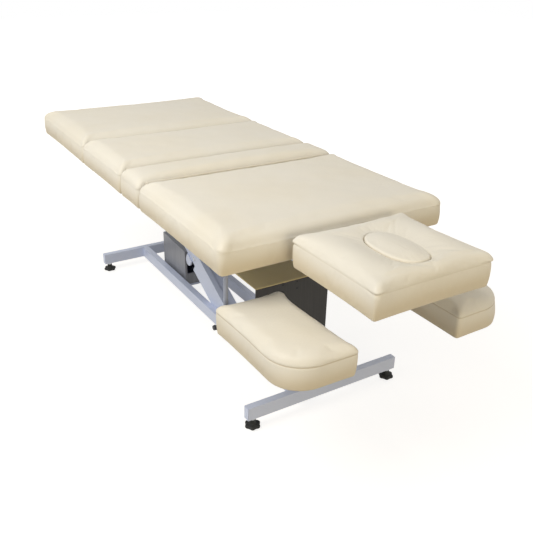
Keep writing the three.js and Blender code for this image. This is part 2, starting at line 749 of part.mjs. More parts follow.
// Face rest: cushion with its oval opening, board, plug and two square rods
const restCentre = -headrestGap - headrestLength / 2;
const restHalfY = headrestLength / 2;
const restHalfX = headrestWidth / 2;
const holeY = restCentre - faceHoleOffset;
const restRadii = [restCorner, restCorner, restCorner, restCorner];
const restPad = cushion({
  halfX: restHalfX,
  halfY: restHalfY,
  bottom: padBottom + fit,
  top: topHeight,
  radii: restRadii,
  round: smallEdgeRound,
});
const hole = (grow, z) => plateZ(oval(faceHoleWidth / 2 + grow, faceHoleLength / 2 + grow, 0, holeY), z);
const padHole = hole(0, [padBottom - over, topHeight + edgeRound]);
place('headrest_cushion', restPad.translate([0, restCentre, 0]).subtract(padHole), creamVinyl);
const restOutline = ringOutline(restHalfX, restHalfY, restRadii, boardInset, 0);
const restBoard = plateZ(restOutline, [underTop, padBottom]).translate([0, restCentre, 0]);
const boardHole = hole(-plugLedge, grown([underTop, padBottom], over));
place('headrest_board', restBoard.subtract(boardHole), plywood);

// The plug is an oval cushion: rings of an ellipse up its side and over its crowned top
const plugMiddleShares = [0.5, 0.7];
function ovalCushion(halfX, halfY, bottom, top, round, rise) {
  const rings = [
    { inset: plugHem, z: bottom },
    { inset: 0, z: bottom + baseTuck },
    { inset: 0, z: top - round },
  ];
  for (let k = 1; k <= roundSteps; k += 1) {
    const angle = (k / roundSteps) * (Math.PI / 2);
    rings.push({ inset: round * (1 - Math.cos(angle)), z: top - round + round * Math.sin(angle) });
  }
  rings.push({ inset: halfX * plugMiddleShares[0], z: top + rise * plugMiddleShares[1] });
  const skinRings = rings.map(({ inset, z }) => oval(halfX - inset, halfY - inset, 0, 0).map(([x, y]) => [x, y, z]));
  return skin(skinRings, [0, 0, bottom], [0, 0, top + rise]);
}
const plugHalf = [faceHoleWidth / 2 - plugClearance, faceHoleLength / 2 - plugClearance];
const plug = ovalCushion(...plugHalf, padBottom + fit, topHeight + crown / 2, plugRound, crown);
place('headrest_plug', plug.translate([0, holeY, 0]), creamVinyl);
const rodInRail = backRailWall + fit;
const rodTop = backRailZ[1] - rodInRail;
const rodHeadEnd = rodShort - headrestGap - headrestLength;
both(backRailInner + rodInRail, backRailInner + backRailSize - rodInRail).forEach((x, k) => {
  const rod = block(x, [rodHeadEnd, rodFootEnd], [backRailZ[0] + rodInRail, rodTop])
    .add(block(x, [rodHeadEnd, -headrestGap - over], [rodTop - weld, underTop - fit]));
  place(`headrest_rod_${k ? 'right' : 'left'}`, rod, bareSteel);
});

// Arm rests: an arm that hangs from a round post under the back board, and a pad with one big outer corner
const armTop = armPadBottom - fit;
const armPad = cushion({
  halfX: (armPadOuter - armPadInner) / 2,
  halfY: (armPadFar - armPadNear) / 2,
  bottom: armPadBottom,
  top: armPadTop,
  radii: [tightCorner, armPadInnerCorner, tightCorner, armPadBigCorner],
  round: smallEdgeRound,
}).translate([(armPadOuter + armPadInner) / 2, (armPadFar + armPadNear) / 2, 0]);
const armX = grown([armPostX, armPostX], armTube / 2);
const armPlateZ = [armTop - armPlateThickness, armTop];
const armZ = [armPlateZ[0] - armTube, armPlateZ[0] + weld];
const post = new THREE.CylinderGeometry(armTube / 2, armTube / 2, underTop - fit - armZ[0], 20);
post.rotateX(Math.PI / 2);
const arm = toSolid(post)
  .translate([armPostX, armPostY, (underTop - fit + armZ[0]) / 2])
  .add(block(armX, [armArmEnd, armPostY], armZ))
  .add(block([armPlateInner, armX[1]], [armPlateNear, armPlateFar], armPlateZ));
place('armrest_cushion_right', armPad, creamVinyl);
place('armrest_cushion_left', mirrored(armPad), creamVinyl);
place('armrest_arm_right', arm, framePaint);
place('armrest_arm_left', mirrored(arm), framePaint);

// Thigh section frame: two rails, the plate with the drive ears, and the knee ears with their pins
const legFrameZ = [frameTop + fit, underTop - fit];
const kneeEyeZ = grown([kneeZ, kneeZ], kneeEye);
const flip = ([low, high]) => [-high, -low];
const thighEarX = [channelInner, channelInner + kneeEarThick];
const calfEarX = [thighEarX[1] + kneeEarGap, channelOuter];
const thighPinY = seamThigh + pinRun;
const thighRailY = [seamThigh + leafFlange + over, seamKnee - kneeEye];
const thighPlateZ = [legFrameZ[0] + thighPlateLift, legFrameZ[0] + thighPlateLift + thighPlateThick];
const thighEarPlace = [sectionDriveX, thighPinY, sectionPinLow];
const thighEars = ears(driveEarSmall, thighPlateZ[0] - sectionPinLow).translate(thighEarPlace);
const thighPlateY = grown([thighPinY, thighPinY], thighPlateHalf);
let thighFrame = block(grown([0, 0], channelOuter), thighPlateY, thighPlateZ).add(thighEars);
both(channelInner, channelOuter).forEach((x, k) => {
  const earX = k ? thighEarX : flip(thighEarX);
  const pinX = k ? [thighEarX[0], calfEarX[1]] : [-calfEarX[1], -thighEarX[0]];
  thighFrame = thighFrame
    .add(rectTube(x, thighRailY, legFrameZ, 'y'))
    .add(block(earX, [thighRailY[1] - kneeEye, seamKnee], kneeEyeZ))
    .add(barX(kneeEye, earX, seamKnee, kneeZ, 20))
    .add(barX(kneePin, pinX, seamKnee, kneeZ, 20));
});
place('thigh_frame', thighFrame, framePaint);

// Calf section frame: two rails with knee ears and a cross tube, and the drop plate that takes the level link
const calfRailY = [seamKnee + kneeEye + kneeRailGap, topLength - calfRailShort];
const linkEndY = seamKnee + linkAway;
const linkEndZ = linkStartZ + kneeZ - hingeZ;
let calfFrame = block(grown([0, 0], channelOuter), [calfRailY[1] - portalWide, calfRailY[1]], legFrameZ);
both(channelInner, channelOuter).forEach((x, k) => {
  const earX = k ? calfEarX : flip(calfEarX);
  calfFrame = calfFrame
    .add(rectTube(x, calfRailY, legFrameZ, 'y'))
    .add(block(earX, [seamKnee, calfRailY[0] + kneeEye], kneeEyeZ))
    .add(barX(kneeEye, earX, seamKnee, kneeZ, 20))
    .subtract(barX(kneePin + boreGap, grown(earX, over), seamKnee, kneeZ, 20));
});
const dropX = [-channelOuter - dropPlateThick, -channelOuter - fit];
const dropY = grown([linkEndY, linkEndY], linkRadius);
calfFrame = calfFrame
  .add(block(dropX, dropY, [linkEndZ, legFrameZ[1]]))
  .add(block([dropX[1] - weld, -channelOuter + weld], dropY, legFrameZ))
  .add(barX(linkRadius, dropX, linkEndY, linkEndZ, 20))
  .add(barX(kneePin, [linkPinEnd, dropX[1]], linkEndY, linkEndZ, 20));
place('calf_frame', calfFrame, framePaint);

// Level link: keeps the calf section level while the thigh section rises
const linkX = [linkPinEnd + linkGap, dropX[0] - linkGap];
const linkLength = Math.hypot(linkEndY - linkStartY, linkEndZ - linkStartZ);
const linkAngle = THREE.MathUtils.radToDeg(Math.atan2(linkEndZ - linkStartZ, linkEndY - linkStartY));
const linkOutline = [
  ...arc(0, 0, linkRadius, 90, 270, 8),
  ...arc(linkLength, 0, linkRadius, -90, 90, 8),
];
const link = plateX(linkOutline, linkX)
  .subtract(barX(kneePin + boreGap, grown(linkX, over), 0, 0))
  .subtract(barX(kneePin + boreGap, grown(linkX, over), linkLength, 0));
place('level_link', setAt(link, linkAngle, linkStartY, linkStartZ), framePaint);

// A linear drive: tube with a round rear eye, and a rod that ends in a slotted eye
const tubeEndShare = 0.8;
const boreStartShare = 0.27;
const rodStartShare = 0.3;
function drive(name, driveX, from, to, acrossGap) {
  const length = Math.hypot(to[0] - from[0], to[1] - from[1]);
  const degrees = THREE.MathUtils.radToDeg(Math.atan2(to[1] - from[1], to[0] - from[0]));
  const tubeEnd = length * tubeEndShare;
  const eyeX = grown([0, 0], driveEyeHalfThick);
  const crossX = grown([0, 0], driveRadius);
  const tube = barY(driveRadius, 0, [driveNeck, tubeEnd], 0, 24)
    .subtract(barY(driveRod + driveRodGap, 0, [length * boreStartShare, tubeEnd + over], 0, 20))
    .add(barX(driveEarSmall, eyeX, 0, 0, 20))
    .add(block(eyeX, [0, driveNeck + weld], grown([0, 0], driveNeckHalf)))
    .subtract(barX(drivePinRadius + boreGap, crossX, 0, 0, 20));
  const slotHalf = drivePinRadius + acrossGap;
  const longHole = (half) => [
    ...arc(length - slotAlong, 0, half, 90, 270, 8),
    ...arc(length + slotAlong, 0, half, -90, 90, 8),
  ];
  const rod = barY(driveRod, 0, [length * rodStartShare, length - slotAlong - slotHalf - weld], 0, 20)
    .add(plateX(longHole(slotHalf + driveEyeWall), eyeX))
    .subtract(plateX(longHole(slotHalf), crossX));
  place(`${name}_tube`, setAt(tube, degrees, from[0], from[1]).translate([driveX, 0, 0]), drivePlastic);
  place(`${name}_rod`, setAt(rod, degrees, from[0], from[1]).translate([driveX, 0, 0]), bareSteel);
}
const backDriveFrom = [portalHeadY, sectionPinZ];
const legDriveFrom = [portalMiddleY, sectionPinZ];
drive('lift_drive', 0, [driveRearY, driveRearZ], [liftPinY, liftPinZ], liftSlotAcross);
drive('back_drive', -sectionDriveX, backDriveFrom, [backPinY, sectionPinLow], sectionSlotAcross);
drive('leg_drive', sectionDriveX, legDriveFrom, [thighPinY, sectionPinLow], sectionSlotAcross);

export default table;
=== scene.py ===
# %% [markdown]
# # An electric massage table
# A welded silver frame with a scissor lift carries four cushioned sections, a face rest and two arm rests
# in cream vinyl. The frame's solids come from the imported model, and this notebook dresses them.

# %% Load the frame
import json
import math
from contextlib import contextmanager
import bmesh
import bpy
import numpy as np
from mathutils import Matrix, Vector


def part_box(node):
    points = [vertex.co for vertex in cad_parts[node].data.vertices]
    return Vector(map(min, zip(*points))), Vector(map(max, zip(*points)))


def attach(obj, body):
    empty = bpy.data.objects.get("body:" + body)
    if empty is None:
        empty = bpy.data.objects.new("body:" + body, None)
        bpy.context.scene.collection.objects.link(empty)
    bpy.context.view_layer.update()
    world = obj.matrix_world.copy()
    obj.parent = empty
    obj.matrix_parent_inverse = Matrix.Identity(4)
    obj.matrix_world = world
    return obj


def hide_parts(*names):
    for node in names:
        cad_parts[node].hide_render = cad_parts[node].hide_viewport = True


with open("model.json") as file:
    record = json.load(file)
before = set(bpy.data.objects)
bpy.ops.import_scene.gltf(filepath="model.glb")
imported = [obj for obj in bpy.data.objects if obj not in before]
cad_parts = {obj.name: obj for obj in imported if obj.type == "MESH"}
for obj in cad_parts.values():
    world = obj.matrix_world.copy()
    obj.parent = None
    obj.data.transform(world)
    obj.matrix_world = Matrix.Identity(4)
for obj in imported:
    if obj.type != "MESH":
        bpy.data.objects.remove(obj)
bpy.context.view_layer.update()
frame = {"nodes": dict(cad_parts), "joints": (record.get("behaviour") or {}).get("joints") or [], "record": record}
scene = bpy.context.scene
MM = 0.001


def linked(name, data):
    """A new object in the scene that holds the given mesh, lamp or camera."""
    piece = bpy.data.objects.new(name, data)
    scene.collection.objects.link(piece)
    return piece


# %% [markdown]
# ## Camera
# A camera can be guessed by eye, or solved from edges of known length. The second way was used: the top
# is a flat rectangle of known width, which fixes the focal length, the place, the heading, the tilt and
# a slight roll.

# %% Camera
PICTURE_PIXELS = 533
FOCAL_PIXELS = 677.1
SENSOR_MM = 36.0
CAMERA_PLACE = Vector((-1.1744, -2.1332, 1.4038))
HEADING, TILT, ROLL = math.radians(32.03), math.radians(25.53), math.radians(1.30)
forward = Vector((math.sin(HEADING) * math.cos(TILT), math.cos(HEADING) * math.cos(TILT), -math.sin(TILT)))
level_right = Vector((math.cos(HEADING), -math.sin(HEADING), 0))
level_up = level_right.cross(forward)
right = level_right * math.cos(ROLL) + level_up * math.sin(ROLL)
up = level_up * math.cos(ROLL) - level_right * math.sin(ROLL)
camera_data = bpy.data.cameras.new("photo_camera")
camera_data.sensor_width = SENSOR_MM
camera_data.lens = FOCAL_PIXELS / PICTURE_PIXELS * SENSOR_MM
camera = scene.camera = linked("photo_camera", camera_data)
camera.matrix_world = Matrix.Translation(CAMERA_PLACE) @ Matrix((right, up, -forward)).transposed().to_4x4()
print("lens", round(camera_data.lens, 2), "mm")

# %% [markdown]
# ## Shader arithmetic
# Wiring each node by hand hides the idea, so a socket is wrapped in a class whose operators add the Math
# nodes: `1 - mask * 0.3` then reads as it is meant.


# %% Shader sockets
class Wave:
    """A float socket of a node tree that takes part in Python sums and products."""

    def __init__(self, graph, socket):
        self.graph, self.socket = graph, socket

    def join(self, operation, first, second):
        return self.graph.add("ShaderNodeMath", {0: first, 1: second}, operation=operation)[0]

    def __add__(self, other): return self.join("ADD", self, other)
    def __radd__(self, other): return self.join("ADD", other, self)
    def __sub__(self, other): return self.join("SUBTRACT", self, other)
    def __rsub__(self, other): return self.join("SUBTRACT", other, self)
    def __mul__(self, other): return self.join("MULTIPLY", self, other)
    def __rmul__(self, other): return self.join("MULTIPLY", other, self)
    def most(self, other): return self.join("MAXIMUM", self, other)

    def ramp(self, low, high):
        """0 below low, 1 above high, and a smooth rise between them."""
        sockets = {0: self, 1: low, 2: high, 3: 0.0, 4: 1.0}
        return self.graph.add("ShaderNodeMapRange", sockets, interpolation_type="SMOOTHSTEP")[0]


class Graph:
    """The node tree of a material or a world, built from Python expressions."""

    def __init__(self, owner):
        owner.use_nodes = True
        self.tree = owner.node_tree

    def feed(self, target, value):
        if isinstance(value, Wave):
            value = value.socket
        if isinstance(value, bpy.types.NodeSocket):
            self.tree.links.new(value, target)
        else:
            target.default_value = value

    def add(self, kind, sockets=None, **settings):
        """A node of one type: its settings are set first, then the values or links of its sockets."""
        node = self.tree.nodes.new(kind)
        for key, value in settings.items():
            setattr(node, key, value)
        for key, value in (sockets or {}).items():
            self.feed(node.inputs[key], value)
        return [Wave(self, socket) for socket in node.outputs]

    def place(self):
        """Object coordinates, which are metres in the table's own frame."""
        return self.add("ShaderNodeTexCoord")[3]

    def noise(self, scale, detail, stretch=None):
        """Soft noise of about scale spots a metre; stretch squeezes it along x, y and z."""
        vector = self.place()
        if stretch:
            vector = self.add("ShaderNodeMapping", {"Vector": vector, "Scale": stretch})[0]
        return self.add("ShaderNodeTexNoise", {"Vector": vector, "Scale": scale, "Detail": detail})[0]

    def cells(self, scale):
        """The distance to the nearest wall between cells, for pebbles and grain."""
        sockets = {"Vector": self.place(), "Scale": scale}
        return self.add("ShaderNodeTexVoronoi", sockets, feature="DISTANCE_TO_EDGE")[0]

    def mark(self, name):
        """A number stored on the mesh, such as how deep in a seam a point lies."""
        return self.add("ShaderNodeAttribute", attribute_name=name)[2]

    def blend(self, mask, first, second):
        """A mix of two colours; each is a colour of 0 to 255 or the result of another blend."""
        first, second = [(*linear(c), 1) if isinstance(c, tuple) else c for c in (first, second)]
        return self.add("ShaderNodeMix", {0: mask, 6: first, 7: second}, data_type="RGBA")[2]

    def bump(self, height, metres, under=None):
        """Relief of the given height, on top of another bump where one is given."""
        sockets = {"Height": height, "Distance": metres, "Strength": 1.0}
        if under is not None:
            sockets["Normal"] = under
        return self.add("ShaderNodeBump", sockets)[0]


class Paint(Graph):
    """A material with one Principled shader."""

    def __init__(self, name, colour, **sockets):
        self.material = bpy.data.materials.new(name)
        super().__init__(self.material)
        self.shader = self.tree.nodes["Principled BSDF"]
        self.material.diffuse_color = (*linear(colour), 1)
        self.finish(Base_Color=(*linear(colour), 1), **sockets)

    def finish(self, **sockets):
        for socket, value in sockets.items():
            self.feed(self.shader.inputs[socket.replace("_", " ")], value)
        return self.material


def linear(colour):
    """An sRGB colour of 0 to 255 as linear light."""
    share = np.array(colour, float) / 255
    curve = np.where(share <= 0.04045, share / 12.92, ((share + 0.055) / 1.055) ** 2.4)
    return tuple(map(float, curve))


# %% [markdown]
# ## Upholstery vinyl
# The covering is a matt-satin vinyl with a fine pebbled grain of two sizes of cells, and its tone drifts
# a little. The mesh stores how deep in a seam and how low on the side band each point lies, so painted
# shade darkens the seams, and painted shade makes the band darker and warmer towards the hem.


# %% Vinyl materials
def vinyl(name, colour, warm, seam_shade, low_shade):
    """Covering: pebble grain, slow drift of tone, and painted shade in the seams and down the band to the hem."""
    paint = Paint(name, colour, Specular_IOR_Level=0.32)
    drift = paint.noise(3.2, 2.0).ramp(0.35, 0.7)
    fine = paint.noise(60.0, 3.0)
    seam = paint.mark("seam").ramp(0.1, 1.0)
    low = paint.mark("low").ramp(0.0, 1.0)
    tone = paint.blend(drift * 0.55 + fine * 0.12, colour, warm)
    # Painted shade: the side band darker and warmer towards the hem.
    tone = paint.blend(low * 0.5, tone, low_shade)
    # Painted shade in the seams.
    tone = paint.blend(seam * 0.45, tone, seam_shade)
    pebble = paint.cells(850.0).ramp(0.02, 0.35) * 0.6 + paint.cells(1500.0).ramp(0.0, 0.3) * 0.4
    soft = paint.noise(26.0, 3.0)
    relief = paint.bump(pebble, 0.00010)
    relief = paint.bump(soft, 0.0010, relief)
    rough = 0.50 + soft * 0.1 - drift * 0.05 + seam * 0.1
    return paint.finish(Base_Color=tone, Roughness=rough, Normal=relief, Coat_Weight=0.04 + drift * 0.04)


cream = vinyl("cream_upholstery_vinyl", (239, 233, 219), (236, 227, 206), (172, 148, 104), (208, 187, 143))
# Painted shade: the box lid takes a warmer, more saturated tone than the cream vinyl, standing in for the shade
# under the table.
lid_painted_shade = vinyl("box_lid_vinyl_painted_shade", (246, 226, 172), (238, 215, 158), (190, 162, 110), (228, 202, 146))


def woven_cover():
    """Black non-woven cloth that closes the underside of a section."""
    paint = Paint("black_dust_cloth", (38, 38, 39), Sheen_Weight=0.2)
    weave = paint.noise(900.0, 2.0, (1, 0.25, 1)) * 0.5 + paint.noise(500.0, 2.0) * 0.5
    tone = paint.blend(weave.ramp(0.35, 0.65), (30, 30, 31), (52, 52, 54))
    return paint.finish(Base_Color=tone, Roughness=0.9 - weave * 0.1, Normal=paint.bump(weave, 0.0002))


dust_cloth = woven_cover()


# %% [markdown]
# ## Metal, rubber and plastic
# Powder coat has the orange-peel skin of baked paint. The guards are a darker satin paint with faint
# upright streaks, bare steel is streaked, and rubber is nearly black with a dusty bloom.


# %% Hard materials
def powder_coat(name, colour, worn, rough, metal):
    paint = Paint(name, colour, Metallic=metal, Specular_IOR_Level=0.5)
    peel = paint.noise(420.0, 2.0)
    cloud = paint.noise(6.0, 3.0)
    tone = paint.blend(cloud.ramp(0.4, 0.75) * 0.5, colour, worn)
    coat = 0.12 + peel * 0.1
    relief = paint.bump(peel, 0.00012)
    return paint.finish(Base_Color=tone, Roughness=rough + cloud * 0.1, Normal=relief, Coat_Weight=coat)


silver = powder_coat("silver_powder_coat", (212, 220, 241), (200, 209, 232), 0.36, 0.06)
# Painted shade: the arm rests' arms take a darker copy of the silver, so they read like the shaded frame behind
# them.
arm_painted_shade_grey = powder_coat("arm_rest_arm_painted_shade", (150, 156, 172), (142, 148, 164), 0.45, 0.05)


def satin_dark(name, colour, streak_low, streak_high, rough, shine):
    """Dark satin paint over brushed sheet, with faint upright streaks."""
    paint = Paint(name, colour, Specular_IOR_Level=shine)
    streak = paint.noise(160.0, 3.0, (1.0, 1.0, 0.04))
    tone = paint.blend(streak.ramp(0.3, 0.75), streak_low, streak_high)
    relief = paint.bump(streak, 0.00012)
    return paint.finish(Base_Color=tone, Roughness=rough + streak * 0.12, Normal=relief)


dark = satin_dark("dark_guard_paint", (142, 144, 151), (134, 136, 143), (151, 153, 160), 0.26, 0.5)
plate_dark = satin_dark("dark_plate_paint", (72, 72, 73), (69, 69, 70), (76, 76, 77), 0.5, 0.25)


def bare_metal(name, colour, shade, stretch):
    paint = Paint(name, colour, Metallic=1.0)
    streak = paint.noise(240.0, 3.0, stretch)
    cloud = paint.noise(14.0, 3.0)
    tone = paint.blend(streak * 0.5 + cloud * 0.4, colour, shade)
    return paint.finish(Base_Color=tone, Roughness=0.24 + streak * 0.16, Normal=paint.bump(streak, 0.00008))


steel = bare_metal("zinc_plated_steel", (196, 199, 202), (150, 154, 158), (0.08, 1.0, 1.0))
rod_steel = bare_metal("ground_rod_steel", (205, 208, 212), (170, 174, 180), (1.0, 0.06, 1.0))


def moulded(name, colour, dusty, rough):
    paint = Paint(name, colour, Specular_IOR_Level=0.4)
    grain = paint.cells(1100.0).ramp(0.0, 0.4)
    dust = paint.noise(9.0, 4.0).ramp(0.45, 0.8)
    tone = paint.blend(dust * 0.4, colour, dusty)
    return paint.finish(Base_Color=tone, Roughness=rough + dust * 0.12, Normal=paint.bump(grain, 0.00008))


rubber = moulded("black_rubber", (38, 39, 38), (66, 65, 62), 0.72)
plastic = moulded("black_drive_plastic", (34, 35, 38), (58, 58, 60), 0.48)
grey_plastic = moulded("grey_drive_plastic", (66, 67, 71), (84, 85, 88), 0.5)
print("materials:", len(bpy.data.materials))

# %% [markdown]
# ## Meshes from arrays
# Every new surface is worked out as whole arrays of points. One helper turns points and faces into a
# smooth mesh, and another gives the finished piece its material and body.


# %% Mesh helpers
@contextmanager
def editing(mesh):
    """Opens a mesh for the bmesh tools and writes it back at the end."""
    work = bmesh.new()
    work.from_mesh(mesh)
    yield work
    work.to_mesh(mesh)
    work.free()


def new_mesh(name, points, faces):
    """A smooth object from points in metres, an (n, 3) array, and faces, which are turned outwards."""
    mesh = bpy.data.meshes.new(name)
    mesh.from_pydata(np.asarray(points, float).tolist(), [], [list(map(int, f)) for f in faces])
    mesh.update()
    with editing(mesh) as work:
        bmesh.ops.recalc_face_normals(work, faces=work.faces)
    mesh.shade_smooth()
    return linked(name, mesh)


def settle(piece, material, body, slot, *nodes):
    """Gives a finished piece its material and the body it rides on, and hides the nodes it stands for; its slot is
    not used.
    """
    piece.data.materials.clear()
    piece.data.materials.append(material)
    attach(piece, body)
    if nodes:
        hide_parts(*nodes)
    return piece


def bell(distance, width):
    """exp(-(distance / width)^2): 1 at the middle, and nearly 0 from two widths on."""
    return np.exp(-(distance / width) ** 2)


def points_of(piece, kind="co"):
    """The mesh's points, or its normals at them, as an (n, 3) array."""
    array = np.zeros(len(piece.data.vertices) * 3)
    piece.data.vertices.foreach_get(kind, array)
    return array.reshape(-1, 3)


def put_points(piece, points):
    piece.data.vertices.foreach_set("co", np.asarray(points, float).ravel())
    piece.data.update()


def move(piece, x, y):
    put_points(piece, points_of(piece) + np.array([x, y, 0]))


def apply_modifiers(piece):
    """Bakes the piece's modifiers into its mesh, so nothing live is left on it."""
    bpy.context.view_layer.update()
    shown = piece.evaluated_get(bpy.context.evaluated_depsgraph_get())
    mesh = bpy.data.meshes.new_from_object(shown)
    piece.modifiers.clear()
    old = piece.data
    piece.data = mesh
    bpy.data.meshes.remove(old)
    mesh.name = piece.name
    mesh.shade_smooth()


# %% [markdown]
# ## Cushions
# A section is foam on a board in a sewn cover: a top panel and a side band that meet in a seam just below
# the rounded edge. A box with rounded edges would look like soap, so the surface follows the sewing. A
# grid covers the top, rings of points run round it over the edge and down the band, and a cloth
# simulation blows the cover up against its seams.

# %% Sizes of the cushions
TOP_Z = 681 * MM
BOARD_Z = 578.8 * MM
SECTION_EDGE = 34 * MM
HEM_ROUND = 5 * MM
BAND_BULGE = 2 * MM
CELL = 10 * MM
BAND_STEP = 7 * MM
SEAM_ROWS = (1.2, 3, 6)
EDGE_TURN = np.radians([72, 57, 44, 33, 23, 15, 9, 4, 0])
HEM_TURN = np.radians([30, 60, 90])


def side_place(reach, run, before, after, share):
    """A place on one side of a rounded outline, as (how far out, how far along).

    The side lies reach away from the middle and is 2 * run long. It owns half of each corner's arc, so
    its length is before * pi / 4 + (2 * run - before - after) + after * pi / 4, and share runs along it.
    """
    first, last = before * math.pi / 4, after * math.pi / 4
    straight = 2 * run - before - after
    walked = share * (first + straight + last)
    start = walked / np.maximum(before, 1e-9) - math.pi / 4
    end = (walked - first - straight) / np.maximum(after, 1e-9)
    in_first, in_last = walked < first, walked > first + straight
    out = np.where(in_first, reach - before * (1 - np.cos(start)), reach)
    out = np.where(in_last, reach - after * (1 - np.cos(end)), out)
    along = np.where(in_first, before * (1 + np.sin(start)) - run, walked - first + before - run)
    along = np.where(in_last, run - after * (1 - np.sin(end)), along)
    return out, along


def outline_place(reach_x, reach_y, radii, side, share):
    """Places on a rounded rectangle. Side 0 to 3 is +x, +y, -x, -y; radii run (+,+) (-,+) (-,-) (+,-)."""
    reaches = ((reach_x, reach_y), (reach_y, reach_x)) * 2
    east, north, west, south = [side_place(*r, radii[k - 1], radii[k], share) for k, r in enumerate(reaches)]
    x = np.choose(side, [east[0], -north[1], -west[0], south[1]])
    y = np.choose(side, [east[1], north[0], -west[1], -south[0]])
    return np.stack([x, y], -1)


def ring_plan(half, inset, radii, side, share):
    """The outline moved in by inset, its radii shrunk in step: radius * (1 - inset / least half)."""
    shrink = np.clip(1 - inset / min(half), 0, 1)
    return outline_place(half[0] - inset, half[1] - inset, [r * shrink for r in radii], side, share)


def grid_faces(index):
    """Quads of a two-dimensional array of vertex numbers."""
    a, b, c, d = index[:-1, :-1], index[1:, :-1], index[1:, 1:], index[:-1, 1:]
    return np.stack([a, b, c, d], -1).reshape(-1, 4)


def ring_mesh(name, rings):
    """A closed object through an array of rings, (rings, points, 3), with a face over each end."""
    index = np.arange(rings[..., 0].size).reshape(rings.shape[:2])
    sides = grid_faces(np.concatenate([index, index[:, :1]], 1))
    return new_mesh(name, rings.reshape(-1, 3), [*sides, index[0][::-1], index[-1]])


def rim_of(index):
    """The vertex numbers round the edge of a grid, once round, anticlockwise."""
    return np.concatenate([index[:-1, 0], index[-1, :-1], index[:0:-1, -1], index[0, :0:-1]])


def band_rows(edge, top, bottom, radii, tight, bulge):
    """Rows from the rounded edge to the hem: inset, height, corner radii and distance above the seam.

    Edge: inset = r (1 - cos a), z = top - r + r sin a. Band: inset = -bulge sin(pi t), with the radii
    going from the full ones to the tight ones. Hem: a small quarter turn under the board.
    """
    rows = [(edge * (1 - math.cos(a)), top - edge + edge * math.sin(a), radii, edge * a) for a in EDGE_TURN]
    seam, low = top - edge, bottom + HEM_ROUND
    close = seam - np.array(SEAM_ROWS) * MM
    count = max(4, round((close[-1] - low) / BAND_STEP))
    for z in np.concatenate([close, np.linspace(close[-1], low, count)[1:]]):
        t = (seam - z) / (seam - low)
        blend = t * t * (3 - 2 * t)
        corner = [r + (s - r) * blend for r, s in zip(radii, tight)]
        rows.append((-bulge * math.sin(math.pi * t), z, corner, z - seam))
    for b in HEM_TURN:
        inset, z = HEM_ROUND * (1 - math.cos(b)), low - HEM_ROUND * math.sin(b)
        rows.append((inset, z, tight, low - seam - HEM_ROUND * b))
    return rows


def walk_round(half, radii, side, share):
    """How far round the outline each point is, in metres, and the whole way round."""
    arcs = np.roll(radii, 1) + radii
    lengths = 2 * np.array([half[1], half[0]] * 2) - arcs * (1 - math.pi / 4)
    before = np.concatenate([[0], np.cumsum(lengths)])
    return before[side] + share * lengths[side], before[-1]


def drawn_in(plan, half, draw):
    """How far a side is drawn in near its middle, by the pull of the cover: draw * (1 - v^2) * u^6."""
    across = plan / np.array(half)
    return draw * np.clip(1 - across[:, ::-1] ** 2, 0, 1) * np.sign(across) * np.abs(across) ** 6


def pad_mesh(name, half, top, bottom, radii, tight, edge, cell=CELL, draw=3 * MM, crown=6 * MM):
    """A closed pad centred on the origin in plan, and the facts that the sewing needs about each point.

    The top's height is crown * (1 - u^2) * (1 - v^2) above the flat, with u and v from -1 to 1 across it.
    """
    inner = (half[0] - edge, half[1] - edge)
    steps = [np.linspace(-h, h, max(4, round(2 * h / cell)) + 1) for h in inner]
    gx, gy = np.meshgrid(*steps, indexing="ij")
    inset = np.minimum(inner[0] - np.abs(gx), inner[1] - np.abs(gy))
    on_x = inner[0] - np.abs(gx) <= inner[1] - np.abs(gy) + 1e-9
    side = np.where(on_x, np.where(gx > 0, 0, 2), np.where(gy > 0, 1, 3))
    run = np.where(on_x, inner[1] - inset, inner[0] - inset)
    share = np.clip(0.5 + np.choose(side, [gy, -gx, -gy, gx]) / np.maximum(2 * run, 1e-9), 0, 1)
    inset, side, share = inset.ravel(), side.ravel(), share.ravel()
    index = np.arange(gx.size).reshape(gx.shape)
    rim = rim_of(index)
    rows = band_rows(edge, top, bottom, radii, tight, BAND_BULGE)
    rows.append((edge / 2, bottom, tight, rows[-1][3] - edge / 2))
    walk, around = walk_round(half, radii, side, share)
    upper, lower = [ring_plan(half, inset + edge, corners, side, share) for corners in (radii, tight)]
    layers = [(upper, top, edge * math.pi / 2 + inset, walk)]
    layers += [(ring_plan(half, r[0], r[2], side[rim], share[rim]), r[1], r[3], walk[rim]) for r in rows]
    layers.append((lower, bottom, rows[-1][3] - edge / 2 - inset, walk))
    plan = np.concatenate([layer[0] for layer in layers])
    z, above, walk = [np.concatenate([np.broadcast_to(layer[k], len(layer[0])) for layer in layers])
                      for k in (1, 2, 3)]
    u, v = plan[:, 0] / half[0], plan[:, 1] / half[1]
    on_top = np.clip((z - (top - edge)) / edge, 0, 1)
    z = z + crown * on_top * np.clip(1 - u ** 2, 0, 1) * np.clip(1 - v ** 2, 0, 1)
    points = np.concatenate([plan - drawn_in(plan, half, draw), z[:, None]], 1)
    rings = [rim] + [gx.size + k * len(rim) + np.arange(len(rim)) for k in range(len(rows))]
    under = index + gx.size + len(rows) * len(rim)
    stack = np.stack(rings + [rim_of(under)])
    stack = np.concatenate([stack, stack[:, :1]], 1)
    faces = np.concatenate([grid_faces(index), grid_faces(stack), grid_faces(under)[:, ::-1]])
    facts = {"above": above, "walk": walk, "around": around, "flat": z < bottom + 1 * MM}
    return new_mesh(name, points, faces), facts


def plan_of(node):
    """Half the width and depth of a node's box, and the middle of the box in plan."""
    low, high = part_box(node)
    return ((high.x - low.x) / 2, (high.y - low.y) / 2), ((high.x + low.x) / 2, (high.y + low.y) / 2)


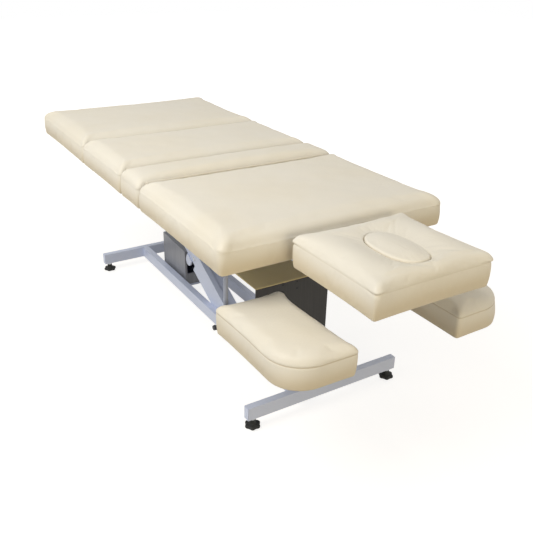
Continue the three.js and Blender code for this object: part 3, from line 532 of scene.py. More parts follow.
def corners_of(half, middle):
    """The four corners of a rectangle in plan."""
    return [(middle[0] + sx * half[0], middle[1] + sy * half[1]) for sx in (-1, 1) for sy in (-1, 1)]


# %% [markdown]
# ## Blowing a cushion up
# The cover is a net of springs and the foam is pressure inside it. The seam and the underside are held,
# so the cover bulges between them. How far a point may move is capped, so the cushion keeps its size.

# %% Cloth
CLOTH_FRAMES = 14
CLOTH_SETTINGS = {
    "quality": 5, "mass": 0.3, "tension_stiffness": 25, "compression_stiffness": 25, "shear_stiffness": 8,
    "bending_stiffness": 1.2, "air_damping": 4, "use_pressure": True, "uniform_pressure_force": 3.0,
    "vertex_group_mass": "held", "shrink_min": -0.004,
}


def held(above, fixed):
    """How firmly a point is held: 1 where fixed, else 0.9 exp(-(distance to seam / 3 mm)^2)."""
    return np.where(fixed, 1.0, 0.9 * bell(above, 3 * MM))


def inflate(piece, hold, cap):
    """Runs the cloth; hold is 0 to 1 for each point, and cap is the farthest a point may move."""
    rest = points_of(piece)
    group = piece.vertex_groups.new(name="held")
    hold = np.round(hold, 1)
    for weight in np.unique(hold[hold > 0]):
        group.add(np.nonzero(hold == weight)[0].tolist(), float(weight), "REPLACE")
    cloth = piece.modifiers.new("cover", "CLOTH")
    for key, value in CLOTH_SETTINGS.items():
        setattr(cloth.settings, key, value)
    cloth.settings.effector_weights.gravity = 0
    cloth.collision_settings.use_collision = False
    for step in range(1, CLOTH_FRAMES + 1):
        scene.frame_set(step)
    bpy.context.view_layer.update()
    shown = piece.evaluated_get(bpy.context.evaluated_depsgraph_get())
    moved = points_of(shown)
    piece.modifiers.clear()
    piece.vertex_groups.clear()
    scene.frame_set(1)
    shift = moved - rest
    far = np.linalg.norm(shift, axis=1, keepdims=True)
    shift *= np.tanh(far / cap) * cap / np.maximum(far, 1e-9)
    put_points(piece, rest + shift)


# %% [markdown]
# ## Seams and puckers
# A sewn edge is a narrow valley with a soft lip, and the cover gathers in short puckers beside the thread,
# strongest near the corners. They are too fine for the cloth, so they are added after it, along the
# surface's own direction, and the seam's depth is stored for the vinyl to paint shade in the seam.

# %% Sewing
PUCKER_PITCH = 16 * MM
VALLEY_WIDTH = 1.8 * MM
LIP_PLACE, LIP_WIDTH = 5 * MM, 3 * MM
CORNER_REACH = 75 * MM
BAND_HEIGHT = 60 * MM
NOISE_WAVES = 5


def smooth_noise(seed, points, waves):
    """A sum of sine waves in random directions: waves is a list of (length, size)."""
    random = np.random.default_rng(seed)
    total = np.zeros(len(points))
    for length, size in waves:
        for _ in range(NOISE_WAVES):
            direction = random.normal(size=3)
            direction /= np.linalg.norm(direction)
            turn = points @ direction * 2 * math.pi / length + random.uniform(0, 6.28)
            total += size / NOISE_WAVES ** 0.5 * np.sin(turn)
    return total


def store_mark(piece, name, values):
    """Stores one number, or one for each point, on the mesh for the vinyl to read."""
    attribute = piece.data.attributes.new(name, "FLOAT", "POINT")
    attribute.data.foreach_set("value", np.full(len(attribute.data), values, np.float32))


def sew(piece, facts, corners, seed, groove, pucker, reach, even, shade=1.0):
    """Adds the seam's valley and the puckers, d above the seam and w round the outline.

    Valley: exp(-(d / 1.8 mm)^2), lip: exp(-((|d| - 5 mm) / 3 mm)^2).
    Puckers: sin(2 pi n w / around + noise) exp(-|d| / reach), n a whole number, so the last meets the first.
    """
    points, normals = points_of(piece), points_of(piece, "normal")
    above, walk = facts["above"], facts["walk"]
    valley = bell(above, VALLEY_WIDTH)
    lip = bell(np.abs(above) - LIP_PLACE, LIP_WIDTH)
    to_corner = np.min([np.linalg.norm(points[:, :2] - np.array(c), axis=1) for c in corners], axis=0)
    strength = even + (1 - even) * bell(to_corner, CORNER_REACH)
    count = round(facts["around"] / PUCKER_PITCH)
    phase = smooth_noise(seed, points, [(70 * MM, 1.6), (190 * MM, 2.2)])
    gather = np.sin(2 * math.pi * count * walk / facts["around"] + phase)
    patchy = np.clip(0.6 + smooth_noise(seed + 3, points, [(130 * MM, 0.6)]), 0, 1.3)
    close = np.exp(-np.abs(above) / reach) * (1 - bell(above, 2.2 * MM))
    low = np.clip((-above - 45 * MM) / (20 * MM), 0, 1) * ~facts["flat"]
    strength = strength * close + 0.25 * low
    shift = 0.35 * groove * lip - groove * valley + pucker * gather * patchy * strength
    shift = shift + smooth_noise(seed + 1, points, [(85 * MM, 0.4 * MM), (260 * MM, 0.9 * MM)])
    put_points(piece, points + normals * np.where(facts["flat"], 0, shift)[:, None])
    # The marks paint shade: in the seam's valley, scaled by shade, and darker towards the hem.
    store_mark(piece, "seam", valley * shade)
    store_mark(piece, "low", np.clip(-above / BAND_HEIGHT, 0, 1))


# %% [markdown]
# ## Corner tucks
# Where the top panel turns a corner, spare vinyl is folded under. Each tuck is a short valley that runs
# in from the corner along the seam, with a raised fold above it.


# %% Tucks
TUCK_SLOPE = 0.10
TUCK_WIDTH, FOLD_PLACE, FOLD_WIDTH = 2.6 * MM, 7 * MM, 4.5 * MM
CORNER_BELOW = 14 * MM


def tuck(piece, corner, along, seam, depth, length):
    """A fold near one corner: a valley that starts there and runs along, and a lip just above it."""
    points, normals = points_of(piece), points_of(piece, "normal")
    local = points - np.array([corner[0], corner[1], seam])
    ahead = local[:, 0] * along[0] + local[:, 1] * along[1]
    level = local[:, 2] - TUCK_SLOPE * ahead
    near = bell(np.linalg.norm(local, axis=1), length) * np.clip(ahead / (6 * MM) + 1, 0, 1)
    valley = bell(level, TUCK_WIDTH) * near
    lip = bell(level - FOLD_PLACE, FOLD_WIDTH) * near
    put_points(piece, points + normals * (depth * (0.8 * lip - valley))[:, None])


def pull_corner(piece, corner, middle, top, push, lift, reach):
    """A corner that stands out: shift * exp(-(distance / reach)^2) about a point just below the edge."""
    points = points_of(piece)
    away = np.sign([corner[0] - middle[0], corner[1] - middle[1]])
    near = np.linalg.norm(points - np.array([*corner, top - CORNER_BELOW]), axis=1)
    shift = np.array([push * away[0], push * away[1], lift])
    put_points(piece, points + bell(near, reach)[:, None] * shift)


def finish_pad(piece, material, body, slot, *nodes):
    """One level of subdivision, baked, then the piece's material and body; its slot is not used."""
    smooth = piece.modifiers.new("smooth", "SUBSURF")
    smooth.levels = smooth.render_levels = 1
    apply_modifiers(piece)
    settle(piece, material, body, slot, *nodes)
    return piece


# %% [markdown]
# ## The four sections of the top
# Back, seat, thigh and calf are the same make in four lengths. The outer corners of the two end sections
# are rounded more than those at the seams, and all come down to a tight corner at the hem.

# %% Sections
HALF_TABLE = 813 * MM / 2
TIGHT, SMALL, LOOSE = 7 * MM, 16 * MM, 24 * MM
END_CORNER = 600 * MM
sections = {
    "back": ("back", (SMALL, SMALL, LOOSE, LOOSE), 11),
    "seat": ("carriage", (SMALL,) * 4, 23),
    "thigh": ("thigh", (SMALL,) * 4, 37),
    "calf": ("calf", (LOOSE, LOOSE, SMALL, SMALL), 41),
}


def make_section(name, body, radii, seed):
    (_, half_y), (_, middle) = plan_of(f"{name}_cushion")
    half, edge = (HALF_TABLE, half_y), SECTION_EDGE
    piece, facts = pad_mesh(f"{name}_pad", half, TOP_Z, BOARD_Z, radii, (TIGHT,) * 4, edge)
    inflate(piece, held(facts["above"], facts["flat"]), 5 * MM)
    move(piece, 0, middle)
    corners = corners_of(half, (0, middle))
    sew(piece, facts, corners, seed, 0.2 * MM, 0.9 * MM, 22 * MM, 0.3, 0.12)
    for corner in corners:
        if abs(corner[1]) > END_CORNER:
            pull_corner(piece, corner, (0, middle), TOP_Z, 5 * MM, 4 * MM, 50 * MM)
        tuck(piece, corner, (-np.sign(corner[0]), 0), TOP_Z - edge - 4 * MM, 1.2 * MM, 42 * MM)
        tuck(piece, corner, (0, np.sign(middle - corner[1])), TOP_Z - edge + 3 * MM, 0.9 * MM, 30 * MM)
    return finish_pad(piece, cream, body, "cream_vinyl", f"{name}_cushion", f"{name}_board")


section_pads = {name: make_section(name, *facts) for name, facts in sections.items()}
print("section pads:", {name: len(p.data.vertices) for name, p in section_pads.items()})

# %% [markdown]
# Steel hinges stand in the two wide seams. A sleeve of the same vinyl over each makes the seam a soft
# crease and keeps the knuckles covered when the back or the legs rise.

# %% Hinge covers
COVER_RADIUS = 6.3 * MM
HINGE_DROP = 5 * MM


def hinge_cover(name, seam_y, hinge_z, half_length, body, seed):
    """A long closed sleeve round the hinge's knuckles, a little uneven, with rounded ends."""
    reach = half_length + np.array([2, 2, 1.2, 0]) * MM
    along = np.concatenate([-reach, np.linspace(-half_length, half_length, 121)[1:-1], reach[::-1]])
    radius = np.full(len(along), COVER_RADIUS)
    radius[:4] = radius[:-5:-1] = COVER_RADIUS * np.array([0.15, 0.75, 0.95, 1])
    angle = np.linspace(0, 2 * math.pi, 24, endpoint=False)
    x, turn = np.meshgrid(along, angle, indexing="ij")
    flat = np.stack([x, np.cos(turn) * 0.05, np.sin(turn) * 0.05], -1).reshape(-1, 3)
    uneven = smooth_noise(seed, flat, [(60 * MM, 0.35 * MM), (23 * MM, 0.15 * MM)])
    radius = radius[:, None] + uneven.reshape(x.shape)
    rings = np.stack([x, seam_y + radius * np.cos(turn), hinge_z + radius * np.sin(turn)], -1)
    piece = ring_mesh(name, rings)
    # Painted shade over the whole sleeve, so the crease between sections reads darker.
    store_mark(piece, "seam", 0.35)
    store_mark(piece, "low", 0.3)
    return settle(piece, cream, body, "cream_vinyl")


for name, joint, seed in (("back", "back_raise", 91), ("thigh", "leg_raise", 97)):
    leaf_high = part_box(f"{name}_leaf")[1]
    axis_z = leaf_high.z - HINGE_DROP
    axis_y = next(j["pos_m"][1] for j in frame["joints"] if j["name"] == joint)
    hinge_cover(f"{name}_hinge_cover", axis_y, axis_z, leaf_high.x + 3 * MM, "carriage", seed)

# %% [markdown]
# ## Face rest
# The face rest has an oval hole that a plug fills. Its surface runs in rings, from the hem up the side
# band, over the edge, in to the hole and down its wall, all with the same step round the outline.

# %% Face rest pad
REST_HALF, rest_middle = plan_of("headrest_cushion")
PLUG_HALF, hole_middle = plan_of("headrest_plug")
REST_Y, HOLE_Y = Vector((rest_middle[1], hole_middle[1]))
HOLE_GAP = 1.2 * MM
HOLE_HALF = PLUG_HALF[0] + HOLE_GAP, PLUG_HALF[1] + HOLE_GAP
RING_POINTS = 232
REST_EDGE, REST_LIP, REST_DISH = 29 * MM, 6 * MM, 4 * MM
REST_CORNER, REST_TIGHT = 16 * MM, 5 * MM
REST_DRAW, REST_BULGE, REST_CROWN = 4 * MM, 2.5 * MM, 7 * MM
FULL_ROOM = 100 * MM
OVAL_POWER = 2.3


def oval(half_x, half_y, angle):
    """A slightly squared oval: |x / a|^n + |y / b|^n = 1."""
    c, s = np.cos(angle), np.sin(angle)
    x = half_x * np.sign(c) * np.abs(c) ** (2 / OVAL_POWER)
    return np.stack([x, half_y * np.sign(s) * np.abs(s) ** (2 / OVAL_POWER)], -1)


def make_face_rest():
    """Rings of one step, from the hem outwards, over the top and down into the hole."""
    step = np.arange(RING_POINTS) * 4 / RING_POINTS
    side, share = step.astype(int), step % 1
    corner, tight = (REST_CORNER,) * 4, (REST_TIGHT,) * 4
    rings, above = [], []

    def add(plan, z, distance):
        rings.append(np.concatenate([plan, np.broadcast_to(z, RING_POINTS)[:, None]], 1))
        above.append(np.broadcast_to(distance, RING_POINTS))

    rows = band_rows(REST_EDGE, TOP_Z, BOARD_Z, corner, tight, REST_BULGE)
    for inset, z, radii, distance in rows[::-1]:
        plan = ring_plan(REST_HALF, inset, radii, side, share)
        add(plan - drawn_in(plan, REST_HALF, REST_DRAW), z, distance)
    start = ring_plan(REST_HALF, REST_EDGE, corner, side, share)
    add(start, TOP_Z, REST_EDGE * math.pi / 2)
    bearing = np.arctan2(start[:, 1] / REST_HALF[1], start[:, 0] / REST_HALF[0])
    shift = np.array([0, HOLE_Y - REST_Y])
    end = oval(HOLE_HALF[0] + REST_LIP, HOLE_HALF[1] + REST_LIP, bearing) + shift
    gap = np.linalg.norm(start - end, axis=1)
    room = np.clip(gap / FULL_ROOM, 0, 1)
    for t in np.linspace(0, 1, 14)[1:]:
        bulge = room * (REST_CROWN * math.sin(math.pi * min(t * 1.15, 1)) - REST_DISH * t ** 3)
        add(start * (1 - t) + end * t, TOP_Z + bulge, REST_EDGE * math.pi / 2 + gap * t)
    for a in np.linspace(0, math.pi / 2, 7)[1:]:
        grow = REST_LIP * (1 - math.sin(a))
        plan = oval(HOLE_HALF[0] + grow, HOLE_HALF[1] + grow, bearing) + shift
        add(plan, TOP_Z - REST_DISH * room - REST_LIP * (1 - math.cos(a)), 1.0)
    wall = oval(*HOLE_HALF, bearing) + shift
    for z in np.linspace(TOP_Z - REST_DISH * room - REST_LIP, BOARD_Z, 9)[1:]:
        add(wall, z, 1.0)
    for t in (0.35, 0.7):
        add(wall * (1 - t) + rings[0][:, :2] * t, BOARD_Z, -1.0)
    stack = np.stack(rings)
    index = np.arange(stack.shape[0] * RING_POINTS).reshape(stack.shape[0], RING_POINTS)
    closed = np.concatenate([index, index[:1]], 0)
    closed = np.concatenate([closed, closed[:, :1]], 1)
    piece = new_mesh("face_rest_pad", stack.reshape(-1, 3), grid_faces(closed))
    walk, around = walk_round(REST_HALF, corner, side, share)
    local, above = points_of(piece), np.concatenate(above)
    flat = local[:, 2] < BOARD_Z + 1 * MM
    facts = {"above": above, "walk": np.tile(walk, len(rings)), "around": around, "flat": flat}
    in_hole = np.hypot(local[:, 0] / HOLE_HALF[0], (local[:, 1] - shift[1]) / HOLE_HALF[1])
    inflate(piece, held(above, flat | (in_hole < 1.12)), 5 * MM)
    move(piece, 0, REST_Y)
    corners = corners_of(REST_HALF, (0, REST_Y))
    sew(piece, facts, corners, 53, 0.4 * MM, 1.0 * MM, 18 * MM, 0.4, 0.45)
    for x, y in corners:
        pull_corner(piece, (x, y), (0, REST_Y), TOP_Z, 6 * MM, 5 * MM, 42 * MM)
        tuck(piece, (x, y), (-np.sign(x), 0), TOP_Z - REST_EDGE + 1 * MM, 4.2 * MM, 26 * MM)
        tuck(piece, (x, y), (0, np.sign(REST_Y - y)), TOP_Z - REST_EDGE + 3 * MM, 1.0 * MM, 24 * MM)
    return finish_pad(piece, cream, "headrest", "cream_vinyl", "headrest_cushion", "headrest_board")


print("face rest pad:", len(make_face_rest().data.vertices))


# %% [markdown]
# ## Plug of the face rest
# The plug is an oval cushion of its own, domed a little above the face rest: rings of an oval whose
# height follows a rounded profile.


# %% Plug pad
def make_plug():
    """Rings of an oval: inset d and height z follow a profile from the underside to the dome."""
    half_x, half_y = PLUG_HALF
    bottom, top, edge, count = BOARD_Z + 12.5 * MM, TOP_Z + 1 * MM, 8 * MM, 128
    turn = np.linspace(0, math.pi / 2, 8)
    inset = [half_x * 0.75, half_x * 0.4, 2 * MM, 0, 0, 0, 0]
    height = [bottom + rise * MM for rise in (0, 0, 0, 3, 25, 50)] + [top - edge - 8 * MM]
    inset += list(edge * (1 - np.cos(turn)))
    height += list(top - edge + edge * np.sin(turn))
    for share in (0.28, 0.37, 0.47, 0.58, 0.7, 0.82, 0.93):
        inset.append(half_x * share)
        height.append(top + 7 * MM * (1 - (1 - (share - 0.19) / 0.81) ** 2))
    angle = np.linspace(0, 2 * math.pi, count, endpoint=False)
    rings = [np.concatenate([oval(half_x - d, half_y - d, angle), np.full((count, 1), z)], 1)
             for d, z in zip(inset, height)]
    piece = ring_mesh("plug_pad", np.stack(rings))
    move(piece, 0, HOLE_Y)
    points = points_of(piece)
    rim = np.hypot(points[:, 0] / half_x, (points[:, 1] - HOLE_Y) / half_y)
    around = np.arctan2(points[:, 1] - HOLE_Y, points[:, 0])
    gather = np.sin(around * 34 + smooth_noise(61, points, [(0.05, 1.5)]))
    top_side = np.clip((points[:, 2] - (top - edge)) / edge, 0, 1) * np.clip((rim - 0.6) / 0.4, 0, 1)
    uneven = smooth_noise(62, points, [(0.07, 0.5 * MM)]) * (points[:, 2] > top - edge)
    shift = 0.35 * MM * gather * top_side + uneven
    put_points(piece, points + points_of(piece, "normal") * shift[:, None])
    # Painted shade round the plug's seam, and darker down its side.
    store_mark(piece, "seam", bell(points[:, 2] - (top - edge), 3 * MM) * 0.5)
    store_mark(piece, "low", np.clip((top - edge - points[:, 2]) / (20 * MM), 0, 1))
    return finish_pad(piece, cream, "plug", "cream_vinyl", "headrest_plug")


print("plug pad:", len(make_plug().data.vertices))

# %% [markdown]
# ## Arm rests
# Each arm rest is the section pad again, smaller and with one large outer corner. The left one is the
# right one mirrored, with its own puckers.

# %% Arm rest pads
ARM_TOP, ARM_EDGE, ARM_BIG, ARM_SAG = 475 * MM, 25 * MM, 116 * MM, 3 * MM
ARM_CELL = 7 * MM
ARM_OPEN = (10 * MM, 24 * MM, 10 * MM, ARM_BIG)
ARM_TIGHT = (6 * MM, 16 * MM, 6 * MM, 104 * MM)


def make_arm_rest(side, seed):
    node = f"armrest_cushion_{side}"
    half, middle = plan_of(node)
    out, order = (1, (0, 1, 2, 3)) if side == "right" else (-1, (1, 0, 3, 2))
    radii, tight = [[row[k] for k in order] for row in (ARM_OPEN, ARM_TIGHT)]
    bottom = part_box(node)[0].z - ARM_SAG
    name = f"arm_rest_pad_{side}"
    piece, facts = pad_mesh(name, half, ARM_TOP, bottom, radii, tight, ARM_EDGE, ARM_CELL, 2.5 * MM, 5 * MM)
    inflate(piece, held(facts["above"], facts["flat"]), 4 * MM)
    move(piece, *middle)
    curve = [(middle[0] + out * (half[0] - ARM_BIG * (1 - math.cos(a))),
              middle[1] - half[1] + ARM_BIG * (1 - math.sin(a))) for a in (0.3, 0.8, 1.3)]
    signs = (out, 1), (-out, 1), (-out, -1)
    square = [(middle[0] + sx * half[0], middle[1] + sy * half[1]) for sx, sy in signs]
    sew(piece, facts, curve + square, seed, 0.8 * MM, 1.0 * MM, 12 * MM, 0.25)
    for x, y in square:
        pull_corner(piece, (x, y), middle, ARM_TOP, 4 * MM, 4 * MM, 34 * MM)
        tuck(piece, (x, y), (np.sign(middle[0] - x), 0), ARM_TOP - ARM_EDGE, 1.5 * MM, 24 * MM)
    return finish_pad(piece, cream, f"armrest_{side}", "cream_vinyl", node)


arm_pads = [make_arm_rest("left", 71), make_arm_rest("right", 83)]
print("arm rest pads:", [len(p.data.vertices) for p in arm_pads])

# %% [markdown]
# ## Soft edges on the welded frame
# The solids have sharp edges, but steel tube has rounded corners that catch a thin line of light. So each
# solid is copied, its triangles are joined into flat faces, and a narrow bevel rounds its edges.


# %% Bevelled copies of the frame's solids
def softened(node, width):
    """A copy of a CAD node with merged points, joined flat faces and a bevel on its sharp edges."""
    mesh = frame["nodes"][node].data.copy()
    mesh.name = f"{node}_soft"
    with editing(mesh) as work:
        bmesh.ops.remove_doubles(work, verts=work.verts, dist=2e-6)
        bmesh.ops.dissolve_limit(work, angle_limit=math.radians(1), verts=work.verts, edges=work.edges)
        bmesh.ops.recalc_face_normals(work, faces=work.faces)
    for attribute in list(mesh.attributes):
        if attribute.name.startswith("custom_normal"):
            mesh.attributes.remove(attribute)
    piece = linked(mesh.name, mesh)
    mesh.shade_smooth()
    bevel = piece.modifiers.new("soft_edges", "BEVEL")
    bevel.width = width
    bevel.segments = 2
    bevel.limit_method = "ANGLE"
    bevel.angle_limit = math.radians(40)
    bevel.harden_normals = True
    bevel.use_clamp_overlap = True
    return piece


record = frame["record"]
body_of_node = {node: body for body, nodes in record["behaviour"]["bodies"].items() for node in nodes}
slot_of_node = {entry["node"]: entry["material_slot"] for entry in record["subparts"]}
TUBE_EDGE, RAIL_EDGE, SHEET_EDGE = 2.6 * MM, 1.6 * MM, 0.7 * MM
PIN_EDGE, LEAF_EDGE, LID_EDGE = 0.8 * MM, 0.4 * MM, 1.4 * MM
soft_copies = (
    (silver, TUBE_EDGE, "base_bar_head base_bar_foot base_rail_left base_rail_right portal_foot"),
    (silver, RAIL_EDGE, "lift_leg_a lift_leg_b top_rail_left top_rail_right back_rail_left back_rail_right"),
    (silver, SHEET_EDGE, "drive_tray roller_channel_left roller_channel_right portal_head portal_middle"),
    (silver, SHEET_EDGE, "back_cross_plate thigh_frame calf_frame level_link"),
    (dark, SHEET_EDGE, "drive_guard control_box_body"),
    (plate_dark, SHEET_EDGE, "control_box_front"),
    (lid_painted_shade, LID_EDGE, "control_box_lid"),
    (arm_painted_shade_grey, RAIL_EDGE, "armrest_arm_left armrest_arm_right"),
    (steel, SHEET_EDGE, "headrest_rod_left headrest_rod_right"),
    (steel, PIN_EDGE, "upper_roller_axle lower_roller_axle"),
    (steel, LEAF_EDGE, "seat_leaf_back seat_leaf_thigh back_leaf thigh_leaf"),
    (rod_steel, PIN_EDGE, "lower_pivot_shaft upper_pivot_shaft crossing_pin"),
    (rod_steel, SHEET_EDGE, "lift_drive_rod back_drive_rod leg_drive_rod"),
    (grey_plastic, PIN_EDGE, "lift_drive_tube back_drive_tube leg_drive_tube"),
)
soft_pieces = []
for material, width, nodes in soft_copies:
    for node in nodes.split():
        piece = softened(node, width)
        soft_pieces.append(settle(piece, material, body_of_node[node], slot_of_node[node], node))
print("softened frame pieces:", len(soft_pieces))

# %% [markdown]
# ## Levelling feet
# Each foot is a wide, flat knob with six finger lobes on a threaded stud: a profile turned about the
# stud, with the lobes as a wave round it.


# %% Feet
LOBES, LOBE_START, LOBE_RISE, LOBE_SIZE = 6, 15 * MM, 8 * MM, 0.085
STUD_RADII, STUD_START, THREAD_PITCH, THREAD_TURNS = (4.2, 4.9), 27, 1.7, 12


def turned(name, profile, centre, count, axis="Z", out=1, lobe=0.0):
    """A closed surface of revolution from (radius, height) pairs in mm, with six lobes on its wide part.

    The radius is r * (1 + lobe * share * cos(6 * angle)); the share grows from 0 at 15 mm to 1 at 23 mm.
    """
    radius, height = (np.array(profile) * MM * np.array([1, out])).T
    angle = np.linspace(0, 2 * math.pi, count, endpoint=False)
    share = np.clip((radius - LOBE_START) / LOBE_RISE, 0, 1)
    spread = 1 + (lobe * share)[:, None] * np.cos(angle * LOBES)
    across = radius[:, None] * spread * np.cos(angle), radius[:, None] * spread * np.sin(angle)
    rings = np.stack([*across, np.broadcast_to(height[:, None], spread.shape)], -1)
    order = {"X": [2, 0, 1], "Y": [1, 2, 0], "Z": [0, 1, 2]}[axis]
    return ring_mesh(name, rings[..., order] + np.array(centre))


def crisp(piece, degrees=35):
    """Smooth shading that still breaks at edges sharper than the given angle."""
    piece.data.shade_smooth()
    with editing(piece.data) as work:
        for edge in work.edges:
            edge.smooth = len(edge.link_faces) == 2 and edge.calc_face_angle(0) < math.radians(degrees)
    return piece


KNOB_PROFILE = [(10, 0), (13, 0), (14, 0.8), (14.5, 2.4), (21, 3.2), (23.6, 4.4), (24.6, 6.5),
                (24.9, 9.5), (24.4, 12), (22.8, 13.8), (19, 14.8), (13, 15.4), (10.8, 17), (10.3, 21),
                (10.2, 30), (9.4, 31), (6, 31)]
NUT_PROFILE = [(5.2, 31.2), (9.4, 31.2), (10, 31.8), (10, 36.4), (9.4, 37.2), (5.2, 37.2)]
for corner in ("head_left", "head_right", "foot_left", "foot_right"):
    node = f"foot_{corner}"
    low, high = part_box(node)
    centre = ((low.x + high.x) / 2, (low.y + high.y) / 2, 0)
    body = body_of_node[node]
    knob = turned(f"foot_knob_{corner}", KNOB_PROFILE, centre, 96, lobe=LOBE_SIZE)
    settle(crisp(knob, 50), rubber, body, "black_rubber", node)
    nut = turned(f"foot_nut_{corner}", NUT_PROFILE, centre, 6)
    settle(crisp(nut), steel, body, "bare_steel")
    thread = [(radius, STUD_START + (k + half) * THREAD_PITCH)
              for k in range(THREAD_TURNS) for radius, half in zip(STUD_RADII, (0, 0.5))]
    stud = turned(f"foot_stud_{corner}", thread, centre, 20)
    settle(stud, steel, body, "bare_steel")

# %% [markdown]
# ## Plugs in the tube ends
# The cross bars are tubes, closed at each end by a plug with a thin flange in the same paint.


# %% Tube end plugs
def slab(name, low, high, material, body, slot, edge):
    """A box between two corners with small rounded edges."""
    mesh = bpy.data.meshes.new(name)
    with editing(mesh) as work:
        bmesh.ops.create_cube(work, size=1)
        bmesh.ops.scale(work, vec=Vector(np.subtract(high, low)), verts=work.verts)
        bmesh.ops.translate(work, vec=Vector(np.add(high, low) / 2), verts=work.verts)
        bmesh.ops.bevel(work, geom=work.edges[:], offset=edge, segments=2, affect="EDGES", clamp_overlap=True)
    return settle(crisp(linked(name, mesh), 50), material, body, slot)


END_PARTS = (("plug", -6, 1.2, 2.2, 0.6), ("cap", 0.1, 1.5, 0.3, 0.5))
for node in ("base_bar_head", "base_bar_foot"):
    low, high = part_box(node)
    for side, x, out in (("left", low.x, -1), ("right", high.x, 1)):
        for part, start, end, inset, edge in END_PARTS:
            near, far = sorted((x + out * start * MM, x + out * end * MM))
            first = near, low.y + inset * MM, low.z + inset * MM
            last = far, high.y - inset * MM, high.z - inset * MM
            slab(f"{node}_{part}_{side}", first, last, silver, "base", "frame_paint", edge * MM)

# %% [markdown]
# ## Undersides
# A thin black cloth, set in from the hem, closes the underside of each board.

# %% Dust cloths
CLOTH_INSET, CLOTH_LOW, CLOTH_HIGH, CLOTH_EDGE = 16 * MM, 0.1 * MM, 0.75 * MM, 0.2 * MM
for name, (body, _, _) in sections.items():
    low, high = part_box(f"{name}_board")
    first = low.x + CLOTH_INSET, low.y + CLOTH_INSET, low.z + CLOTH_LOW
    last = high.x - CLOTH_INSET, high.y - CLOTH_INSET, low.z + CLOTH_HIGH
    slab(f"{name}_dust_cloth", first, last, dust_cloth, body, "plywood", CLOTH_EDGE)
print("dust cloths:", len(sections))

# %% [markdown]
# ## Screws, bolts and washers
# Each fastener is a profile turned about its own axis, with six sides for bolt heads.


# %% Fasteners
BOLT_RADIUS, BOLT_HEAD, SCREW_RADIUS, CAP_RADIUS = 6.0, 4.0, 3.4, 10.2
BOX_SCREWS = (-42, 359), (16, 359), (-42, 333), (16, 333)


def bolt(name, centre, out, body):
    """A washer and a six-sided head that point along x, outwards."""
    r, h = BOLT_RADIUS, BOLT_HEAD
    washer = [(0.5, 0), (r * 1.45, 0), (r * 1.5, 0.4), (r * 1.45, 1.6), (0.5, 1.6)]
    head = [(0.5, 1.7), (r * 1.02, 1.7), (r * 1.15, 2.2), (r * 1.15, 1.2 + h), (r * 0.9, 1.7 + h),
            (0.5, 1.7 + h)]
    for part, profile, count in (("washer", washer, 32), ("head", head, 6)):
        piece = turned(f"{name}_{part}", profile, centre, count, "X", out)
        settle(crisp(piece), steel, body, "bare_steel")


def screw(name, centre):
    """A domed screw head that points along -y, with a recess pressed into its middle rings."""
    r = SCREW_RADIUS
    profile = [(r, 0), (r, 0.5), (r * 0.9, 1.2), (r * 0.6, 1.8), (r * 0.35, 1.2), (0.3, 0.9)]
    piece = turned(name, profile, centre, 20, "Y", -1)
    settle(piece, plastic, "base", "drive_plastic")


def shaft_cap(name, centre, out, body):
    """A moulded cup pushed over the end of a shaft."""
    r, rim = CAP_RADIUS, CAP_RADIUS + 0.8
    profile = [(0.5, 1.6), (r - 1, 1.6), (r, 0.8), (r, -6), (rim, -7), (rim, -8.5), (0.5, -8.5)]
    piece = turned(name, profile, centre, 32, "X", out)
    settle(crisp(piece), grey_plastic, body, "drive_plastic")


def shaft_ends(node):
    """The two ends of a shaft that lies along x, each with its side, place and outward direction."""
    low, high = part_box(node)
    middle = (low.y + high.y) / 2, (low.z + high.z) / 2
    return ("left", (low.x, *middle), -1), ("right", (high.x, *middle), 1)


for side, place, out in shaft_ends("lower_pivot_shaft"):
    shaft_cap(f"lower_shaft_cap_{side}", place, out, "base")
for side, place, out in shaft_ends("upper_pivot_shaft"):
    bolt(f"upper_shaft_{side}", place, out, "carriage")
bolt("crossing_end", *shaft_ends("crossing_pin")[1][1:], "leg_a")
FRONT_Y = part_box("control_box_front")[0].y
for k, (x, z) in enumerate(BOX_SCREWS):
    screw(f"box_screw_{k}", (x * MM, FRONT_Y - 0.1 * MM, z * MM))

# %% [markdown]
# ## Studio
# The photograph is a cut-out on white, lit softly from the left and above. A pale floor and world give
# the white, and four soft lamps give the light.

# %% Floor, world and lamps
def white_rays(graph):
    """1 for camera, glossy and transmission rays, which see the backdrop as white."""
    rays = graph.add("ShaderNodeLightPath")
    return rays[0].most(rays[3]).most(rays[6])


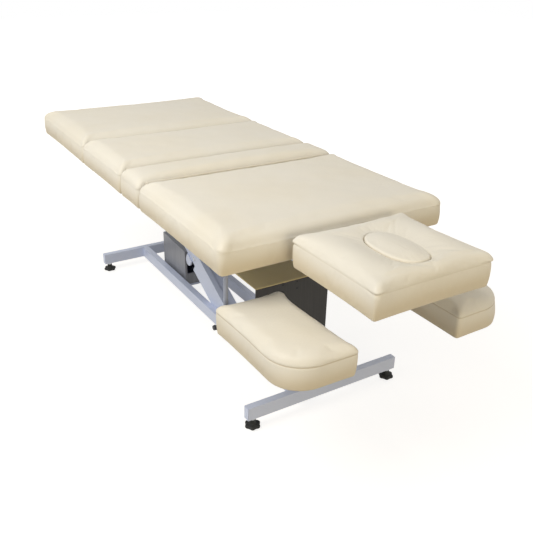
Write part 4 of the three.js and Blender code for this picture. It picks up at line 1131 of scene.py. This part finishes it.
FLOOR_REACH = 12
floor_corners = np.array([(-1, -1, 0), (1, -1, 0), (1, 1, 0), (-1, 1, 0)]) * FLOOR_REACH
floor_mesh = bpy.data.meshes.new("studio_floor")
floor_mesh.from_pydata(floor_corners.tolist(), [], [(0, 1, 2, 3)])
floor = linked("studio_floor", floor_mesh)
floor_paint = Paint("studio_floor_white", (158, 152, 142), Roughness=0.9)
away = floor_paint.add("ShaderNodeVectorMath", {0: floor_paint.place()}, operation="LENGTH")[1]
glow = floor_paint.blend(away.ramp(0.9, 2.6), (234, 234, 234), (255, 255, 255))
floor_paint.finish(Emission_Color=glow, Emission_Strength=white_rays(floor_paint))
floor_mesh.materials.append(floor_paint.material)

scene.world = bpy.data.worlds.new("studio_world")
sky = Graph(scene.world)
sky.tree.nodes.clear()
soft = sky.add("ShaderNodeBackground", {"Color": (1.0, 0.97, 0.92, 1), "Strength": 0.34})[0]
white = sky.add("ShaderNodeBackground", {"Color": (1.0, 1.0, 1.0, 1), "Strength": 1.0})[0]
mixed = sky.add("ShaderNodeMixShader", {0: white_rays(sky), 1: soft, 2: white})[0]
sky.add("ShaderNodeOutputWorld", {"Surface": mixed})


def lamp(name, place, target, size, watts, colour):
    """A rectangular lamp at a place, turned to a target."""
    data = bpy.data.lights.new(name, "AREA")
    data.shape = "RECTANGLE"
    data.size, data.size_y = size
    data.energy, data.color = watts, colour
    piece = linked(name, data)
    piece.location = place
    piece.rotation_euler = (Vector(target) - Vector(place)).to_track_quat("-Z", "Y").to_euler()


lamp("key_left", (-2.75, -0.3, 3.3), (0, 0, 0.6), (2.2, 2.2), 88, (1.0, 0.995, 0.975))
lamp("top_soft", (0.0, 0.6, 3.4), (0, 0, 0.6), (3.0, 3.0), 10, (1.0, 0.99, 0.965))
lamp("low_fill", (-3.3, 0.2, 0.9), (0, 0, 0.35), (1.8, 1.0), 8, (0.97, 0.985, 1.0))
lamp("front_fill", (-0.3, -4.6, 1.4), (0, -0.1, 0.55), (3.0, 1.6), 50, (1.0, 0.88, 0.64))
scene.view_settings.view_transform = "Standard"
